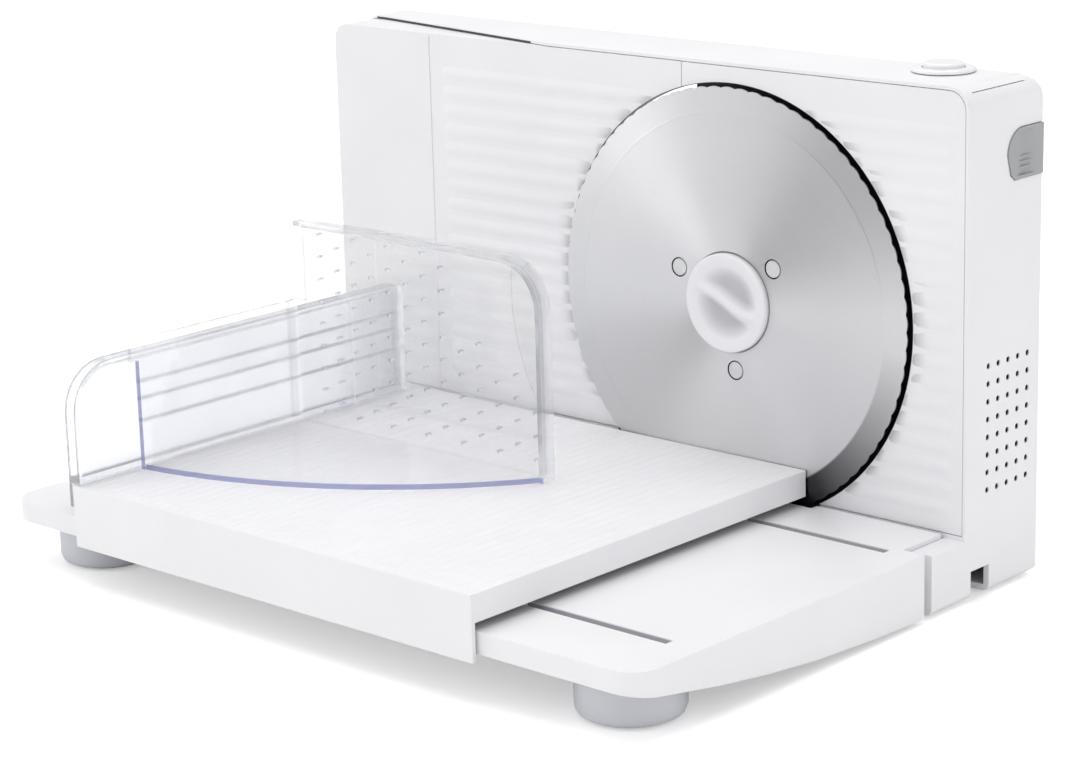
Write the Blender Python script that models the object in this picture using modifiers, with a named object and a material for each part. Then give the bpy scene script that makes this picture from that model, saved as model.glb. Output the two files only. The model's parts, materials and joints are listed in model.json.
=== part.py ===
# Electric food slicer with a folding base, a sliding carriage and a 170 mm serrated blade.
# Metres, +Z up. X runs to the right along the cut, Y runs to the rear, away from the food.
# The origin lies on the floor, under the centre of the slicer's outline.

import math

import bmesh
import bpy
from mathutils import Matrix, Vector

# General sizes
clearance = 0.0003
overrun = 0.002
merge_distance = 0.000003
flat_angle = math.radians(0.05)
wall = 0.0024
well_sides = 72
guard_sides = 48
large_sides = 28
round_sides = 20
small_sides = 12
corner_steps = 6
rib_end_steps = 3
shade_angle = math.radians(35)
flat_shade_angle = math.radians(12)

# Blade, its gear and its lock
blade_radius = 0.085
blade_height = 0.1025
blade_to_right_side = 0.1103
blade_thickness = 0.0012
blade_dish = 0.0015
blade_flat_radius = 0.0745
blade_edge_thickness = 0.0003
blade_blank_extra = 0.0005
blade_tooth_depth = 0.0009
blade_tooth_count = 78
blade_gap = 0.0017
cap_radius = 0.0197
cap_proud = 0.0026
cap_ridge_length = 0.031
cap_ridge_width = 0.0046
cap_ridge_steps = 10
cap_edge = 0.0009
cap_dish_share = 0.55
cap_dish_flat_share = 0.45
cap_dish_edge_share = 0.85
cap_boss_radius = 0.009
cap_boss_depth = 0.003
rivet_circle_radius = 0.0272
rivet_head_radius = 0.0035
rivet_shank_radius = 0.002
rivet_head_height = 0.0004
rivet_count = 3
first_rivet_angle = math.radians(36.4)
well_depth = 0.0093
stud_radius = 0.004
stud_flange_radius = 0.008

# Reduction between the motor and the blade
gear_module = 0.0018
blade_gear_teeth = 40
pinion_teeth = 8
gear_face = 0.006
gear_web_thickness = 0.0022
worm_wheel_module = 0.00125
worm_wheel_teeth = 30
worm_wheel_face = 0.007
tooth_addendum_share = 0.75
tooth_dedendum_share = 1.15
tooth_tip_share = 0.16
tooth_root_share = 0.48
drive_angle = math.radians(-82)
layshaft_radius = 0.0025
worm_root_radius = 0.0034
worm_tip_radius = 0.0056
worm_length = 0.026
worm_thread_root_width = 0.00195
worm_thread_tip_width = 0.0009
worm_points_per_turn = 10

# Motor
motor_axis_depth = 0.0295
motor_radius = 0.0155
motor_wall = 0.0016
motor_start = 0.0186
motor_length = 0.0594
case_window_start = 0.0048
case_window_length = 0.0048
core_radius = 0.0118
core_length = 0.034
core_slots = 8
core_slot_floor = 0.0071
core_slot_width = 0.0012
commutator_radius = 0.006
commutator_length = 0.008
shaft_radius = 0.0023
shaft_left = 0.019
shaft_right = 0.0925
bush_radius = 0.0042
bush_length = 0.005
bush_proud = 0.0006
fan_radius = 0.0135
fan_hub_radius = 0.0045
fan_width = 0.006
fan_blades = 7
fan_blade_thickness = 0.0012
fan_disc_thickness = 0.0012
fan_place = 0.0815
cradle_length = 0.034
cradle_width = 0.022

# Housing
housing_width = 0.3315
housing_depth = 0.048
plate_setback = 0.001
blade_to_housing_top = 0.094
housing_corner_radius = 0.0085
housing_rear_radius = 0.010
housing_bottom_radius = 0.003
pad_height = 0.0015
pad_radius = 0.007
chute_right = 0.0244
chute_from_knob = 0.0524
chute_floor = 0.062
sliding_side_front = 0.0205
rear_opening_top = 0.080
rim_thickness = 0.0013
top_sweep_start = 0.095
top_sweep_end = 0.022
top_sweep_tip = 0.0005
top_lip = 0.0012
plate_bottom = 0.0753
toe_width = 0.0093
toe_reach = 0.0213
toe_drop = 0.0018
screw_boss_radius = 0.004
screw_head_radius = 0.0031
screw_head_height = 0.0016
screw_radius = 0.0016
screw_length = 0.012
screw_slot_share = 1.4
screw_slot_width = 0.0008
screw_inset = 0.0055
cord_notch_start = 0.004
cord_notch_width = 0.012
cord_notch_height = 0.011
cord_notch_depth = 0.010
vent_radius = 0.0013
vent_columns = 5
vent_rows = 8
vent_column_pitch = 0.00647
vent_row_pitch = 0.00687
vent_first_depth = 0.0142
vent_first_drop = 0.0122
vent_sides = 6

# Fixed plate and stop plate
plate_thickness = 0.0025
rib_pitch = 0.0079
rib_width = 0.0046
rib_height = 0.0005
rib_count = 19
top_rib_drop = 0.0175
rib_end_margin = 0.0032
stop_plate_bottom = 0.0615
stop_plate_side = 0.0015
stop_plate_travel = 0.015
stop_panel_left = 0.0142
stop_panel_radius = 0.032
stop_panel_proud = 0.0007
stop_line_left = 0.0588
stop_line_width = 0.0008
stop_rib_left = 0.0655
stop_flange_depth = 0.0225

# Thickness control behind the stop plate
knob_from_left = 0.0562
knob_above_blade = 0.015
knob_radius = 0.022
knob_height = 0.012
knob_grip_count = 16
knob_grip_depth = 0.0011
knob_grip_shares = (0.0, 0.5, 0.65, 0.85)
knob_turn = math.radians(270)
knob_shaft_radius = 0.005
cam_inner_radius = 0.008
cam_outer_radius = 0.016
cam_base_thickness = 0.003
cam_gap = 0.0009
cam_end_flat = math.radians(14)
cam_segments = 20
cam_ramp_share = 0.97
scale_ring_width = 0.0055
scale_ring_thickness = 0.0015
scale_marks = 10
scale_mark_width = 0.0009
scale_mark_depth = 0.0005
carrier_thickness = 0.003
carrier_width = 0.070
carrier_height = 0.054
guide_rod_radius = 0.0025
guide_rod_spacing = 0.056
guide_tube_radius = 0.0048
guide_tube_length = 0.0216
guide_boss_depth = 0.002
follower_width = 0.004
plate_spring_radius = 0.0042
plate_spring_wire = 0.0006
plate_spring_turns = 6

# Power button, its switch and the thumb catch
button_from_right = 0.0305
button_depth = 0.0275
button_radius = 0.00775
button_proud = 0.0037
button_travel = 0.003
button_flange_radius = 0.0095
button_flange_thickness = 0.0015
button_stem_radius = 0.0025
bezel_outer_radius = 0.0123
bezel_inner_radius = 0.0082
bezel_height = 0.0016
switch_length = 0.020
switch_width = 0.0126
switch_height = 0.0105
terminal_thickness = 0.0012
plunger_radius = 0.0016
plunger_height = 0.0012
shelf_thickness = 0.0024
shelf_drop = 0.0270
button_spring_radius = 0.0046
button_spring_wire = 0.0004
button_spring_turns = 4
spring_points_per_turn = 9
catch_depth_start = 0.025
catch_bottom = 0.0558
catch_top = 0.075
catch_proud = 0.0006
catch_body = 0.0055
catch_flange = 0.0012
catch_flange_thickness = 0.0015
catch_arc_start = 100
catch_arc_end = 170
catch_foot_share = 0.22
scoop_radius = 0.0165
scoop_depth = 0.0011
catch_bar_count = 3
catch_bar_width = 0.0008
catch_bar_pitch = 0.0020
catch_bar_height = 0.0006
catch_bar_length = 0.0085

# Folding base, hinge pins and feet
base_top_drop = 0.0755
base_front_reach = 0.1877
base_front_thickness = 0.008
base_rear_thickness = 0.0250
base_rear_gap = 0.0017
base_arm_gap = 0.0046
base_corner_radius = 0.011
base_wall = 0.0025
base_curve_shares = ((0.0, 0.0), (0.14, 0.27), (0.24, 0.46), (0.37, 0.66), (0.52, 0.84),
                     (0.70, 0.95), (0.86, 1.0))
base_skin = 0.0034
pin_radius = 0.003
pin_length = 0.0135
pin_from_front_of_toe = 0.0115
pin_drop = 0.0120
foot_radius = 0.0198
foot_from_right = 0.0268
foot_from_left = 0.0272
foot_reach = 0.160
foot_edge_radius = 0.003
foot_edge_share = 0.3
foot_pad_height = 0.0015
foot_pad_radius = 0.0150
groove_width = 0.0040
groove_depth = 0.0020
groove_front_reach = 0.155
groove_rear_reach = 0.030
groove_right = 0.0133
groove_left = 0.0125

# Carriage, end wall and food pusher
carriage_front_reach = 0.1907
carriage_back_reach = 0.002
carriage_left_reach = 0.1765
carriage_right_reach = 0.038
carriage_top_drop = 0.0616
carriage_thickness = 0.0109
carriage_skin = 0.0025
carriage_side_wall = 0.0025
skirt_thickness = 0.0020
skirt_drop = 0.0249
carriage_rib_pitch = 0.0053
carriage_rib_width = 0.0027
carriage_rib_height = 0.0004
carriage_rib_margin = 0.003
runner_left_inset = 0.0165
runner_right_inset = 0.008
runner_width = 0.0060
runner_rib_width = 0.0080
end_wall_outer_reach = 0.1786
end_wall_width = 0.0066
end_wall_web = 0.0025
end_wall_rim = 0.0025
end_wall_top_drop = 0.014
end_wall_rear_reach = 0.010
end_wall_corner_radius = 0.0190
end_wall_rear_radius = 0.0048
end_wall_hem = 0.009
pusher_side_reach = 0.1705
pusher_right_reach = 0.0293
pusher_wall_reach = 0.0738
pusher_wall_left_reach = 0.1640
pusher_wall_top = 0.0262
pusher_side_top_drop = 0.008
pusher_sheet = 0.0022
pusher_arc_radius = 0.194
pusher_arc_steps = 16
pusher_side_front = 0.1605
pusher_right_front = 0.0762
pusher_corner_radius = 0.020
pusher_rim_depth = 0.0045
hook_length = 0.012
hook_reach = 0.158
hook_top_drop = 0.0066
hook_drop = 0.0085
hook_sheet = 0.0020
hook_gap = 0.0004
pip_radius = 0.0013
pip_length = 0.0024
pip_sides = 4
pip_column_pitch = 0.0098
pip_row_pitch = 0.0093
pip_columns = 13
pip_full_columns = 8
pip_rows = 9
pip_left_margin = 0.0078
pip_floor_margin = 0.0045
pip_top_margin = 0.0045
pip_side_rows = 5

# Places that follow from the sizes
rear_reach = plate_setback + housing_depth + clearance + knob_height
housing_left = -(housing_width + catch_proud) / 2
housing_right = housing_left + housing_width
blade_x = housing_right - blade_to_right_side
blade_y = (carriage_front_reach - rear_reach) / 2
blade_z = blade_height
plate_y = blade_y + plate_setback
housing_rear = plate_y + housing_depth
housing_inner_rear = housing_rear - wall
housing_top = blade_z + blade_to_housing_top
housing_floor = pad_height
well_radius = blade_radius + blade_gap
well_back = plate_y + well_depth
well_rear = well_back + wall
chute_right_x = blade_x - chute_right
chute_floor_z = blade_z - chute_floor
gear_centre_distance = gear_module * (blade_gear_teeth + pinion_teeth) / 2
lay_x = blade_x + gear_centre_distance * math.cos(drive_angle)
lay_z = blade_z + gear_centre_distance * math.sin(drive_angle)
worm_wheel_radius = worm_wheel_module * worm_wheel_teeth / 2
worm_pitch_radius = worm_tip_radius - worm_wheel_module * tooth_addendum_share
motor_y = blade_y + motor_axis_depth
motor_z = lay_z - worm_wheel_radius - worm_pitch_radius
knob_x = housing_left + knob_from_left
chute_left_x = knob_x + chute_from_knob
knob_z = blade_z + knob_above_blade
button_x = housing_right - button_from_right
button_y = plate_y + button_depth
base_top = blade_z - base_top_drop
base_rear = plate_y - base_rear_gap
base_front = blade_y - base_front_reach
toe_front = plate_y - toe_reach
carriage_top = blade_z - carriage_top_drop
carriage_bottom = carriage_top - carriage_thickness
carriage_left = blade_x - carriage_left_reach
carriage_right = blade_x + carriage_right_reach
carriage_front = blade_y - carriage_front_reach
carriage_back = blade_y - carriage_back_reach
gear_front = blade_y - blade_dish + blade_thickness + clearance
slide_point = ((carriage_left + carriage_right) / 2, blade_y - groove_front_reach, carriage_bottom)

# Scene and materials

for old in list(bpy.data.objects):
    bpy.data.objects.remove(old, do_unlink=True)

parts = bpy.data.collections.new("electric_food_slicer")
cutters = bpy.data.collections.new("cutters")
for collection in (parts, cutters):
    bpy.context.scene.collection.children.link(collection)


def material(name, colour, roughness, metallic=0.0, alpha=1.0):
    made = bpy.data.materials.new(name)
    made.use_nodes = True
    shader = made.node_tree.nodes["Principled BSDF"]
    shader.inputs["Base Color"].default_value = (*colour, 1.0)
    shader.inputs["Roughness"].default_value = roughness
    shader.inputs["Metallic"].default_value = metallic
    shader.inputs["Alpha"].default_value = alpha
    return made


white_abs = material("white_abs", (0.86, 0.86, 0.87), 0.45)
white_button = material("white_button", (0.80, 0.80, 0.81), 0.35)
grey_abs = material("grey_abs", (0.36, 0.37, 0.39), 0.5)
clear_styrene = material("clear_styrene", (0.86, 0.88, 0.92), 0.08, alpha=0.35)
stainless = material("stainless_steel", (0.62, 0.62, 0.60), 0.28, 1.0)
zinc_steel = material("zinc_plated_steel", (0.55, 0.56, 0.57), 0.35, 1.0)
black_nylon = material("black_nylon", (0.03, 0.03, 0.03), 0.5)
acetal = material("white_acetal", (0.78, 0.78, 0.74), 0.4)
brass = material("brass", (0.62, 0.47, 0.20), 0.35, 1.0)
lamination = material("steel_lamination", (0.30, 0.30, 0.31), 0.5, 1.0)
bronze = material("sintered_bronze", (0.45, 0.30, 0.15), 0.5, 1.0)
grey_rubber = material("grey_rubber", (0.30, 0.30, 0.31), 0.8)
spring_steel = material("spring_steel", (0.45, 0.45, 0.46), 0.3, 1.0)


# Building blocks

def place(name, mesh, finish):
    """Puts a finished mesh in the slicer's collection as one sub-part."""
    made = bpy.data.objects.new(name, mesh)
    parts.objects.link(made)
    mesh.materials.clear()
    mesh.materials.append(finish)
    return made


def as_cutter(shape):
    """Moves a shape to the cutters, where it shows as wire only."""
    parts.objects.unlink(shape)
    cutters.objects.link(shape)
    shape.hide_render = True
    shape.display_type = "WIRE"
    return shape


def boolean(target, shape, operation):
    as_cutter(shape)
    step = target.modifiers.new(operation.lower() + "_" + shape.name, "BOOLEAN")
    step.operation = operation
    step.solver = "EXACT"
    step.object = shape
    return target


def cut(target, *shapes):
    for shape in shapes:
        boolean(target, shape, "DIFFERENCE")
    return target


def join(target, *shapes):
    for shape in shapes:
        boolean(target, shape, "UNION")
    return target


def keep_inside(target, shape):
    return boolean(target, shape, "INTERSECT")


def settle(target):
    """Applies the modifiers of a shape, so that later steps start from a plain mesh."""
    graph = bpy.context.evaluated_depsgraph_get()
    mesh = bpy.data.meshes.new_from_object(target.evaluated_get(graph))
    target.modifiers.clear()
    target.data = mesh
    return target


def set_origin(target, point):
    """Moves a moving piece's origin onto its joint axis and leaves its shape where it is."""
    target.data.transform(Matrix.Translation(-Vector(point)))
    target.location = point
    return target


def smooth(target, angle=shade_angle):
    target.data.shade_smooth()
    target.data.set_sharp_from_angle(angle=angle)
    return target


def mesh_from(name, build):
    body = bmesh.new()
    build(body)
    mesh = bpy.data.meshes.new(name)
    body.to_mesh(mesh)
    body.free()
    return mesh


def box(name, low, high, finish):
    """A block between two opposite corners."""
    low, high = Vector(low), Vector(high)

    def build(body):
        bmesh.ops.create_cube(body, size=1)
        size = high - low
        bmesh.ops.scale(body, vec=size, verts=body.verts)
        bmesh.ops.translate(body, vec=(low + high) / 2, verts=body.verts)

    return place(name, mesh_from(name, build), finish)


axis_turn = {
    "X": Matrix(((0, 0, 1), (1, 0, 0), (0, 1, 0))).to_4x4(),
    "Y": Matrix(((1, 0, 0), (0, 0, -1), (0, 1, 0))).to_4x4(),
    "Z": Matrix.Identity(4),
}


def rod(name, axis, centre, start, end, radius, finish, sides=round_sides, end_radius=None):
    """A round bar along X, Y or Z; centre gives the two other coordinates in their order."""
    length = end - start
    middle = (start + end) / 2
    sign = -1 if axis == "Y" else 1
    first = radius if sign > 0 else (end_radius or radius)
    last = (end_radius or radius) if sign > 0 else radius

    def build(body):
        bmesh.ops.create_cone(body, cap_ends=True, segments=sides, radius1=first,
                              radius2=last, depth=length)
        bmesh.ops.transform(body, matrix=axis_turn[axis], verts=body.verts)

    place_of = {
        "X": (middle, *centre),
        "Y": (centre[0], middle, centre[1]),
        "Z": (*centre, middle),
    }[axis]
    made = place(name, mesh_from(name, build), finish)
    made.data.transform(Matrix.Translation(Vector(place_of)))
    return smooth(made)


def prism(name, axis, outline, start, end, finish):
    """A flat outline pushed along X, Y or Z; the outline is (y, z), (x, z) or (x, y)."""
    curve = bpy.data.curves.new(name, "CURVE")
    curve.dimensions = "2D"
    curve.fill_mode = "BOTH"
    curve.extrude = (end - start) / 2
    line = curve.splines.new("POLY")
    line.points.add(len(outline) - 1)
    for point, (u, v) in zip(line.points, outline):
        point.co = (u, v, 0, 1)
    line.use_cyclic_u = True
    flat = bpy.data.objects.new(name + "_curve", curve)
    cutters.objects.link(flat)
    graph = bpy.context.evaluated_depsgraph_get()
    mesh = bpy.data.meshes.new_from_object(flat.evaluated_get(graph))
    bpy.data.objects.remove(flat, do_unlink=True)
    along = {"X": (1, 0, 0), "Y": (0, 1, 0), "Z": (0, 0, 1)}[axis]
    mesh.transform(Matrix.Translation(Vector(along) * (start + end) / 2) @ axis_turn[axis])
    body = bmesh.new()
    body.from_mesh(mesh)
    bmesh.ops.remove_doubles(body, verts=body.verts, dist=merge_distance)
    bmesh.ops.dissolve_limit(body, angle_limit=flat_angle, verts=body.verts, edges=body.edges)
    bmesh.ops.recalc_face_normals(body, faces=body.faces)
    body.to_mesh(mesh)
    body.free()
    return smooth(place(name, mesh, finish))


def turned(name, axis, centre, profile, finish, sides=large_sides):
    """A turned piece: a profile of (radius, place along the axis), swept round its axis."""
    mesh = bpy.data.meshes.new(name)
    body = bmesh.new()
    corners = [body.verts.new((radius, 0, along)) for radius, along in profile]
    closed = min(radius for radius, _ in profile) > 0
    for first, second in zip(corners, corners[1:]):
        body.edges.new((first, second))
    if closed:
        body.edges.new((corners[-1], corners[0]))
    body.to_mesh(mesh)
    body.free()
    made = place(name, mesh, finish)
    sweep = made.modifiers.new("sweep", "SCREW")
    sweep.steps = sides
    sweep.render_steps = sides
    sweep.use_merge_vertices = True
    sweep.merge_threshold = merge_distance
    settle(made)
    position = {"X": (0, *centre), "Y": (centre[0], 0, centre[1]), "Z": (*centre, 0)}[axis]
    flip = Matrix.Scale(-1, 4, Vector((0, 0, 1))) if axis == "Y" else Matrix.Identity(4)
    made.data.transform(Matrix.Translation(Vector(position)) @ axis_turn[axis] @ flip)
    body = bmesh.new()
    body.from_mesh(made.data)
    bmesh.ops.remove_doubles(body, verts=body.verts, dist=merge_distance)
    bmesh.ops.recalc_face_normals(body, faces=body.faces)
    body.to_mesh(made.data)
    body.free()
    made.data.materials.clear()
    made.data.materials.append(finish)
    return smooth(made)


def tube(name, points, radius, finish, resolution=1):
    """A wire along a line of points, with filled ends, as one closed mesh."""
    curve = bpy.data.curves.new(name, "CURVE")
    curve.dimensions = "3D"
    curve.bevel_depth = radius
    curve.bevel_resolution = resolution
    curve.use_fill_caps = True
    line = curve.splines.new("POLY")
    line.points.add(len(points) - 1)
    for point, place_of in zip(line.points, points):
        point.co = (*place_of, 1)
    wire = bpy.data.objects.new(name + "_curve", curve)
    cutters.objects.link(wire)
    graph = bpy.context.evaluated_depsgraph_get()
    mesh = bpy.data.meshes.new_from_object(wire.evaluated_get(graph))
    bpy.data.objects.remove(wire, do_unlink=True)
    body = bmesh.new()
    body.from_mesh(mesh)
    bmesh.ops.remove_doubles(body, verts=body.verts, dist=merge_distance)
    bmesh.ops.recalc_face_normals(body, faces=body.faces)
    body.to_mesh(mesh)
    body.free()
    return smooth(place(name, mesh, finish))


def group(name, shapes, finish):
    """Several separate solids as one shape, for one cut or one join."""
    body = bmesh.new()
    for shape in shapes:
        settle(shape)
        body.from_mesh(shape.data)
        bpy.data.objects.remove(shape, do_unlink=True)
    mesh = bpy.data.meshes.new(name)
    body.to_mesh(mesh)
    body.free()
    return smooth(place(name, mesh, finish))


def arc(centre, radius, start, end, steps):
    """Points on a circle from one angle to another, in degrees, ends included."""
    angles = [math.radians(start + (end - start) * k / steps) for k in range(steps + 1)]
    return [(centre[0] + radius * math.cos(a), centre[1] + radius * math.sin(a)) for a in angles]


def rounded(left, bottom, right, top, radii, steps=corner_steps):
    """A rectangle with its own radius at each corner: bottom right, top right, top left,
    bottom left; a radius of zero leaves the corner sharp."""
    corners = [(right, bottom, -1, 1, -90), (right, top, -1, -1, 0),
               (left, top, 1, -1, 90), (left, bottom, 1, 1, 180)]
    points = []
    for (x, y, inward_x, inward_y, start), radius in zip(corners, radii):
        if radius > 0:
            centre = (x + inward_x * radius, y + inward_y * radius)
            points += arc(centre, radius, start, start + 90, steps)
        else:
            points.append((x, y))
    return points


def gear_outline(centre, module, teeth, phase):
    """A spur gear's outline with straight-sided teeth and free running play."""
    pitch_radius = module * teeth / 2
    tip = pitch_radius + module * tooth_addendum_share
    root = pitch_radius - module * tooth_dedendum_share
    step = math.tau / teeth
    points = []
    for tooth in range(teeth):
        middle = phase + tooth * step
        for radius, share in ((root, -tooth_root_share / 2), (tip, -tooth_tip_share / 2),
                              (tip, tooth_tip_share / 2), (root, tooth_root_share / 2)):
            angle = middle + share * step
            points.append((centre[0] + radius * math.cos(angle),
                           centre[1] + radius * math.sin(angle)))
    return points


def swept(name, rings, finish):
    """A closed body through a row of rings that have equally many corners."""
    def build(body):
        rows = [[body.verts.new(corner) for corner in ring] for ring in rings]
        for one, two in zip(rows, rows[1:]):
            for side in range(len(one)):
                after = (side + 1) % len(one)
                body.faces.new((one[side], one[after], two[after], two[side]))
        body.faces.new(rows[0])
        body.faces.new(list(reversed(rows[-1])))
        bmesh.ops.recalc_face_normals(body, faces=body.faces)

    return place(name, mesh_from(name, build), finish)


def helix(centre, radius, bottom, top, turns):
    """Points of a coil that climbs along Z."""
    count = int(turns * spring_points_per_turn)
    return [(centre[0] + radius * math.cos(math.tau * k / spring_points_per_turn),
             centre[1] + radius * math.sin(math.tau * k / spring_points_per_turn),
             bottom + (top - bottom) * k / count) for k in range(count + 1)]


def least_gap(points, wire_radius):
    """The smallest free space between two passes of a coil's wire."""
    near = spring_points_per_turn // 2
    gaps = [(Vector(a) - Vector(b)).length for i, a in enumerate(points)
            for b in points[i + near:]]
    return min(gaps) - 2 * wire_radius


# Housing and its covers

rear_corner = (housing_rear - housing_rear_radius, housing_top - housing_rear_radius)


def side_profile(front, bottom, inset):
    """The housing's side outline, drawn in by an inset, with its round top rear edge."""
    return [(front, bottom), (housing_rear - inset, bottom),
            *arc(rear_corner, housing_rear_radius - inset, 0, 90, corner_steps),
            (front, housing_top - inset)]


def toe(name, left, right, outer_first):
    """The block beside the base that carries a hinge pin."""
    radii = (0, 0, 0, housing_bottom_radius) if outer_first else (housing_bottom_radius, 0, 0, 0)
    outline = rounded(left, housing_floor, right, base_top - toe_drop, radii)
    return prism(name, "Y", outline, toe_front, plate_y + wall, white_abs)


def vents():
    """Rows of round holes beside the motor's fan."""
    holes = []
    for column in range(vent_columns):
        for row in range(vent_rows):
            centre = (plate_y + vent_first_depth + column * vent_column_pitch,
                      blade_z - vent_first_drop - row * vent_row_pitch)
            holes.append(rod("vent", "X", centre, housing_right - wall - overrun,
                             housing_right + overrun, vent_radius, white_abs, vent_sides))
    return group("vent_holes", holes, white_abs)


def catch_outline(grow):
    """The thumb catch: a half round front and a flat foot, open towards the rear."""
    centre_z = (catch_bottom + catch_top) / 2 + blade_z
    front = plate_y + catch_depth_start - grow
    rear = housing_rear + grow
    half = (catch_top - catch_bottom) / 2 + grow
    low, high = centre_z - half, centre_z + half
    return [(rear, low), (rear, high), (front + half, high),
            *arc((front + half, centre_z), half, catch_arc_start, catch_arc_end, corner_steps),
            (front, centre_z), (front + catch_foot_share * half, low + catch_foot_share * half),
            (front + half / 2, low)]


def rear_bosses():
    """Posts behind the blade well that take the rear cover's screws."""
    right = housing_right - wall - screw_inset
    left = chute_right_x + wall + screw_inset
    low = housing_floor + wall + screw_inset
    above_notch = housing_floor + cord_notch_height + screw_inset
    return [(left, low), (right, above_notch), (left, rear_opening_top + blade_z - screw_inset),
            (button_x - bezel_outer_radius - 2 * screw_boss_radius,
             rear_opening_top + blade_z - screw_inset)]


def post_start(centre):
    """Posts stand on the well's back wall where they lie behind it, else on the front wall."""
    if math.hypot(centre[0] - blade_x, centre[1] - blade_z) < well_radius:
        return well_back + wall / 2
    return plate_y + plate_thickness + clearance + wall / 2


def chute_wall_outline():
    """The wall between chute and knob room, lowered where the stop plate's flange slides."""
    way_rear = plate_y + stop_flange_depth + stop_plate_travel
    way_low = housing_top - stop_plate_side - wall - clearance
    front, low = plate_y + sliding_side_front, chute_floor_z - wall / 2
    return [(front, low), (housing_rear - top_lip / 2, low),
            *arc(rear_corner, housing_rear_radius - top_lip / 2, 0, 90, corner_steps),
            (way_rear, housing_top - top_lip / 2), (way_rear, way_low), (front, way_low)]


def make_housing():
    outline = rounded(housing_left, housing_floor, housing_right, housing_top,
                      (housing_bottom_radius, housing_corner_radius,
                       housing_corner_radius, housing_bottom_radius))
    shell = prism("housing_shell", "Y", outline, plate_y, housing_rear, white_abs)
    round_rear = [(housing_rear + overrun, rear_corner[1]),
                  (housing_rear + overrun, housing_top + overrun),
                  (rear_corner[0], housing_top + overrun),
                  *arc(rear_corner, housing_rear_radius, 90, 0, corner_steps)]
    cut(shell, prism("rear_rounding", "X", round_rear, housing_left - overrun,
                     housing_right + overrun, white_abs))
    join(shell, toe("right_toe", housing_right - toe_width, housing_right, False),
         toe("left_toe", housing_left, housing_left + toe_width, True))
    settle(shell)

    cavity = prism("motor_room", "X",
                   side_profile(plate_y + plate_thickness + clearance + wall,
                                housing_floor + wall, wall),
                   chute_right_x + wall, housing_right - wall, white_abs)
    low_room = box("low_room", (housing_left + wall, plate_y + wall, housing_floor + wall),
                   (chute_right_x + wall + overrun, housing_inner_rear, chute_floor_z - wall),
                   white_abs)
    guard = rod("well_guard", "Y", (blade_x, blade_z), plate_y - overrun, well_rear,
                well_radius + wall, white_abs, guard_sides)
    join(cavity, low_room)
    cut(cavity, guard)
    settle(cavity)
    cover_gap = box("cover_gap", (chute_right_x + wall + overrun / 2, housing_inner_rear - overrun,
                                  housing_floor + wall + overrun / 2),
                    (housing_right - wall - overrun / 2, housing_rear + overrun,
                     blade_z + rear_opening_top), white_abs)

    chute_outline = rounded(housing_left + top_lip, chute_floor_z, chute_right_x,
                            housing_top - top_lip, (0, 0, housing_corner_radius - top_lip, 0))
    chute = prism("chute", "Y", chute_outline, plate_y - overrun, housing_inner_rear, white_abs)
    keep_inside(chute, prism("chute_side", "X", side_profile(plate_y - 2 * overrun,
                                                            chute_floor_z - overrun, top_lip),
                             housing_left - overrun, chute_right_x + overrun, white_abs))
    settle(chute)
    chute_mouth = box("chute_mouth", (chute_left_x + overrun / 2, housing_inner_rear - overrun,
                                      chute_floor_z + overrun / 2),
                      (chute_right_x - overrun / 2, housing_rear + overrun,
                       blade_z + rear_opening_top), white_abs)
    sweep_depth = plate_y + top_sweep_end - plate_setback
    sweep = prism("top_sweep", "Z",
                  [(housing_left - overrun, plate_y - overrun),
                   (blade_x - top_sweep_start, plate_y - overrun),
                   (blade_x - top_sweep_start - overrun, plate_y + top_sweep_tip),
                   (housing_left + stop_panel_left, sweep_depth - overrun / 2),
                   (housing_left - overrun, sweep_depth)],
                  chute_floor_z, housing_top + overrun, white_abs)
    recess = prism("plate_recess", "Y",
                   rounded(chute_right_x - overrun, blade_z - plate_bottom - clearance,
                           housing_right - rim_thickness, housing_top - rim_thickness,
                           (0, housing_corner_radius - rim_thickness, 0, 0)),
                   plate_y - overrun, plate_y + plate_thickness + clearance, white_abs)
    well = rod("blade_well", "Y", (blade_x, blade_z), plate_y - 2 * overrun, well_back,
               well_radius, white_abs, well_sides)
    cut(shell, cavity, chute, cover_gap, chute_mouth, sweep, recess, well)
    settle(shell)

    chute_wall = prism("chute_wall", "X", chute_wall_outline(), chute_left_x - wall,
                       chute_left_x, white_abs)
    shelf = box("switch_shelf", (button_x - bezel_outer_radius,
                                 plate_y + plate_thickness + clearance + wall / 2,
                                 housing_top - shelf_drop - shelf_thickness),
                (button_x + bezel_outer_radius, button_y + bezel_outer_radius,
                 housing_top - shelf_drop), white_abs)
    worm_rib = box("worm_rib", (lay_x - shaft_left, well_back + wall / 2, housing_floor + wall / 2),
                   (lay_x - shaft_left + wall + overrun, housing_inner_rear - clearance,
                    motor_z + 2 * bush_radius), white_abs)
    posts = [rod("screw_post", "Y", centre, post_start(centre), housing_inner_rear - clearance,
                 screw_boss_radius, white_abs, small_sides)
             for centre in rear_bosses()]
    rod_bosses = [rod("guide_boss", "Y", (knob_x + side * guide_rod_spacing / 2, knob_z),
                      housing_inner_rear - guide_boss_depth, housing_inner_rear + wall / 2,
                      guide_rod_radius + wall, white_abs, small_sides) for side in (-1, 1)]
    lay_boss = rod("lay_boss", "Y", (lay_x, lay_z), well_back + wall / 2, lay_boss_end,
                   layshaft_radius + wall, white_abs, small_sides)
    stud_boss = rod("stud_boss", "Y", (blade_x, blade_z), well_back + wall / 2,
                    well_rear + 2 * wall, stud_radius + wall, white_abs)
    additions = group("inner_ribs", [shelf, worm_rib, lay_boss, stud_boss, *posts, *rod_bosses],
                      white_abs)
    join(shell, chute_wall, additions)
    settle(shell)

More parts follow.
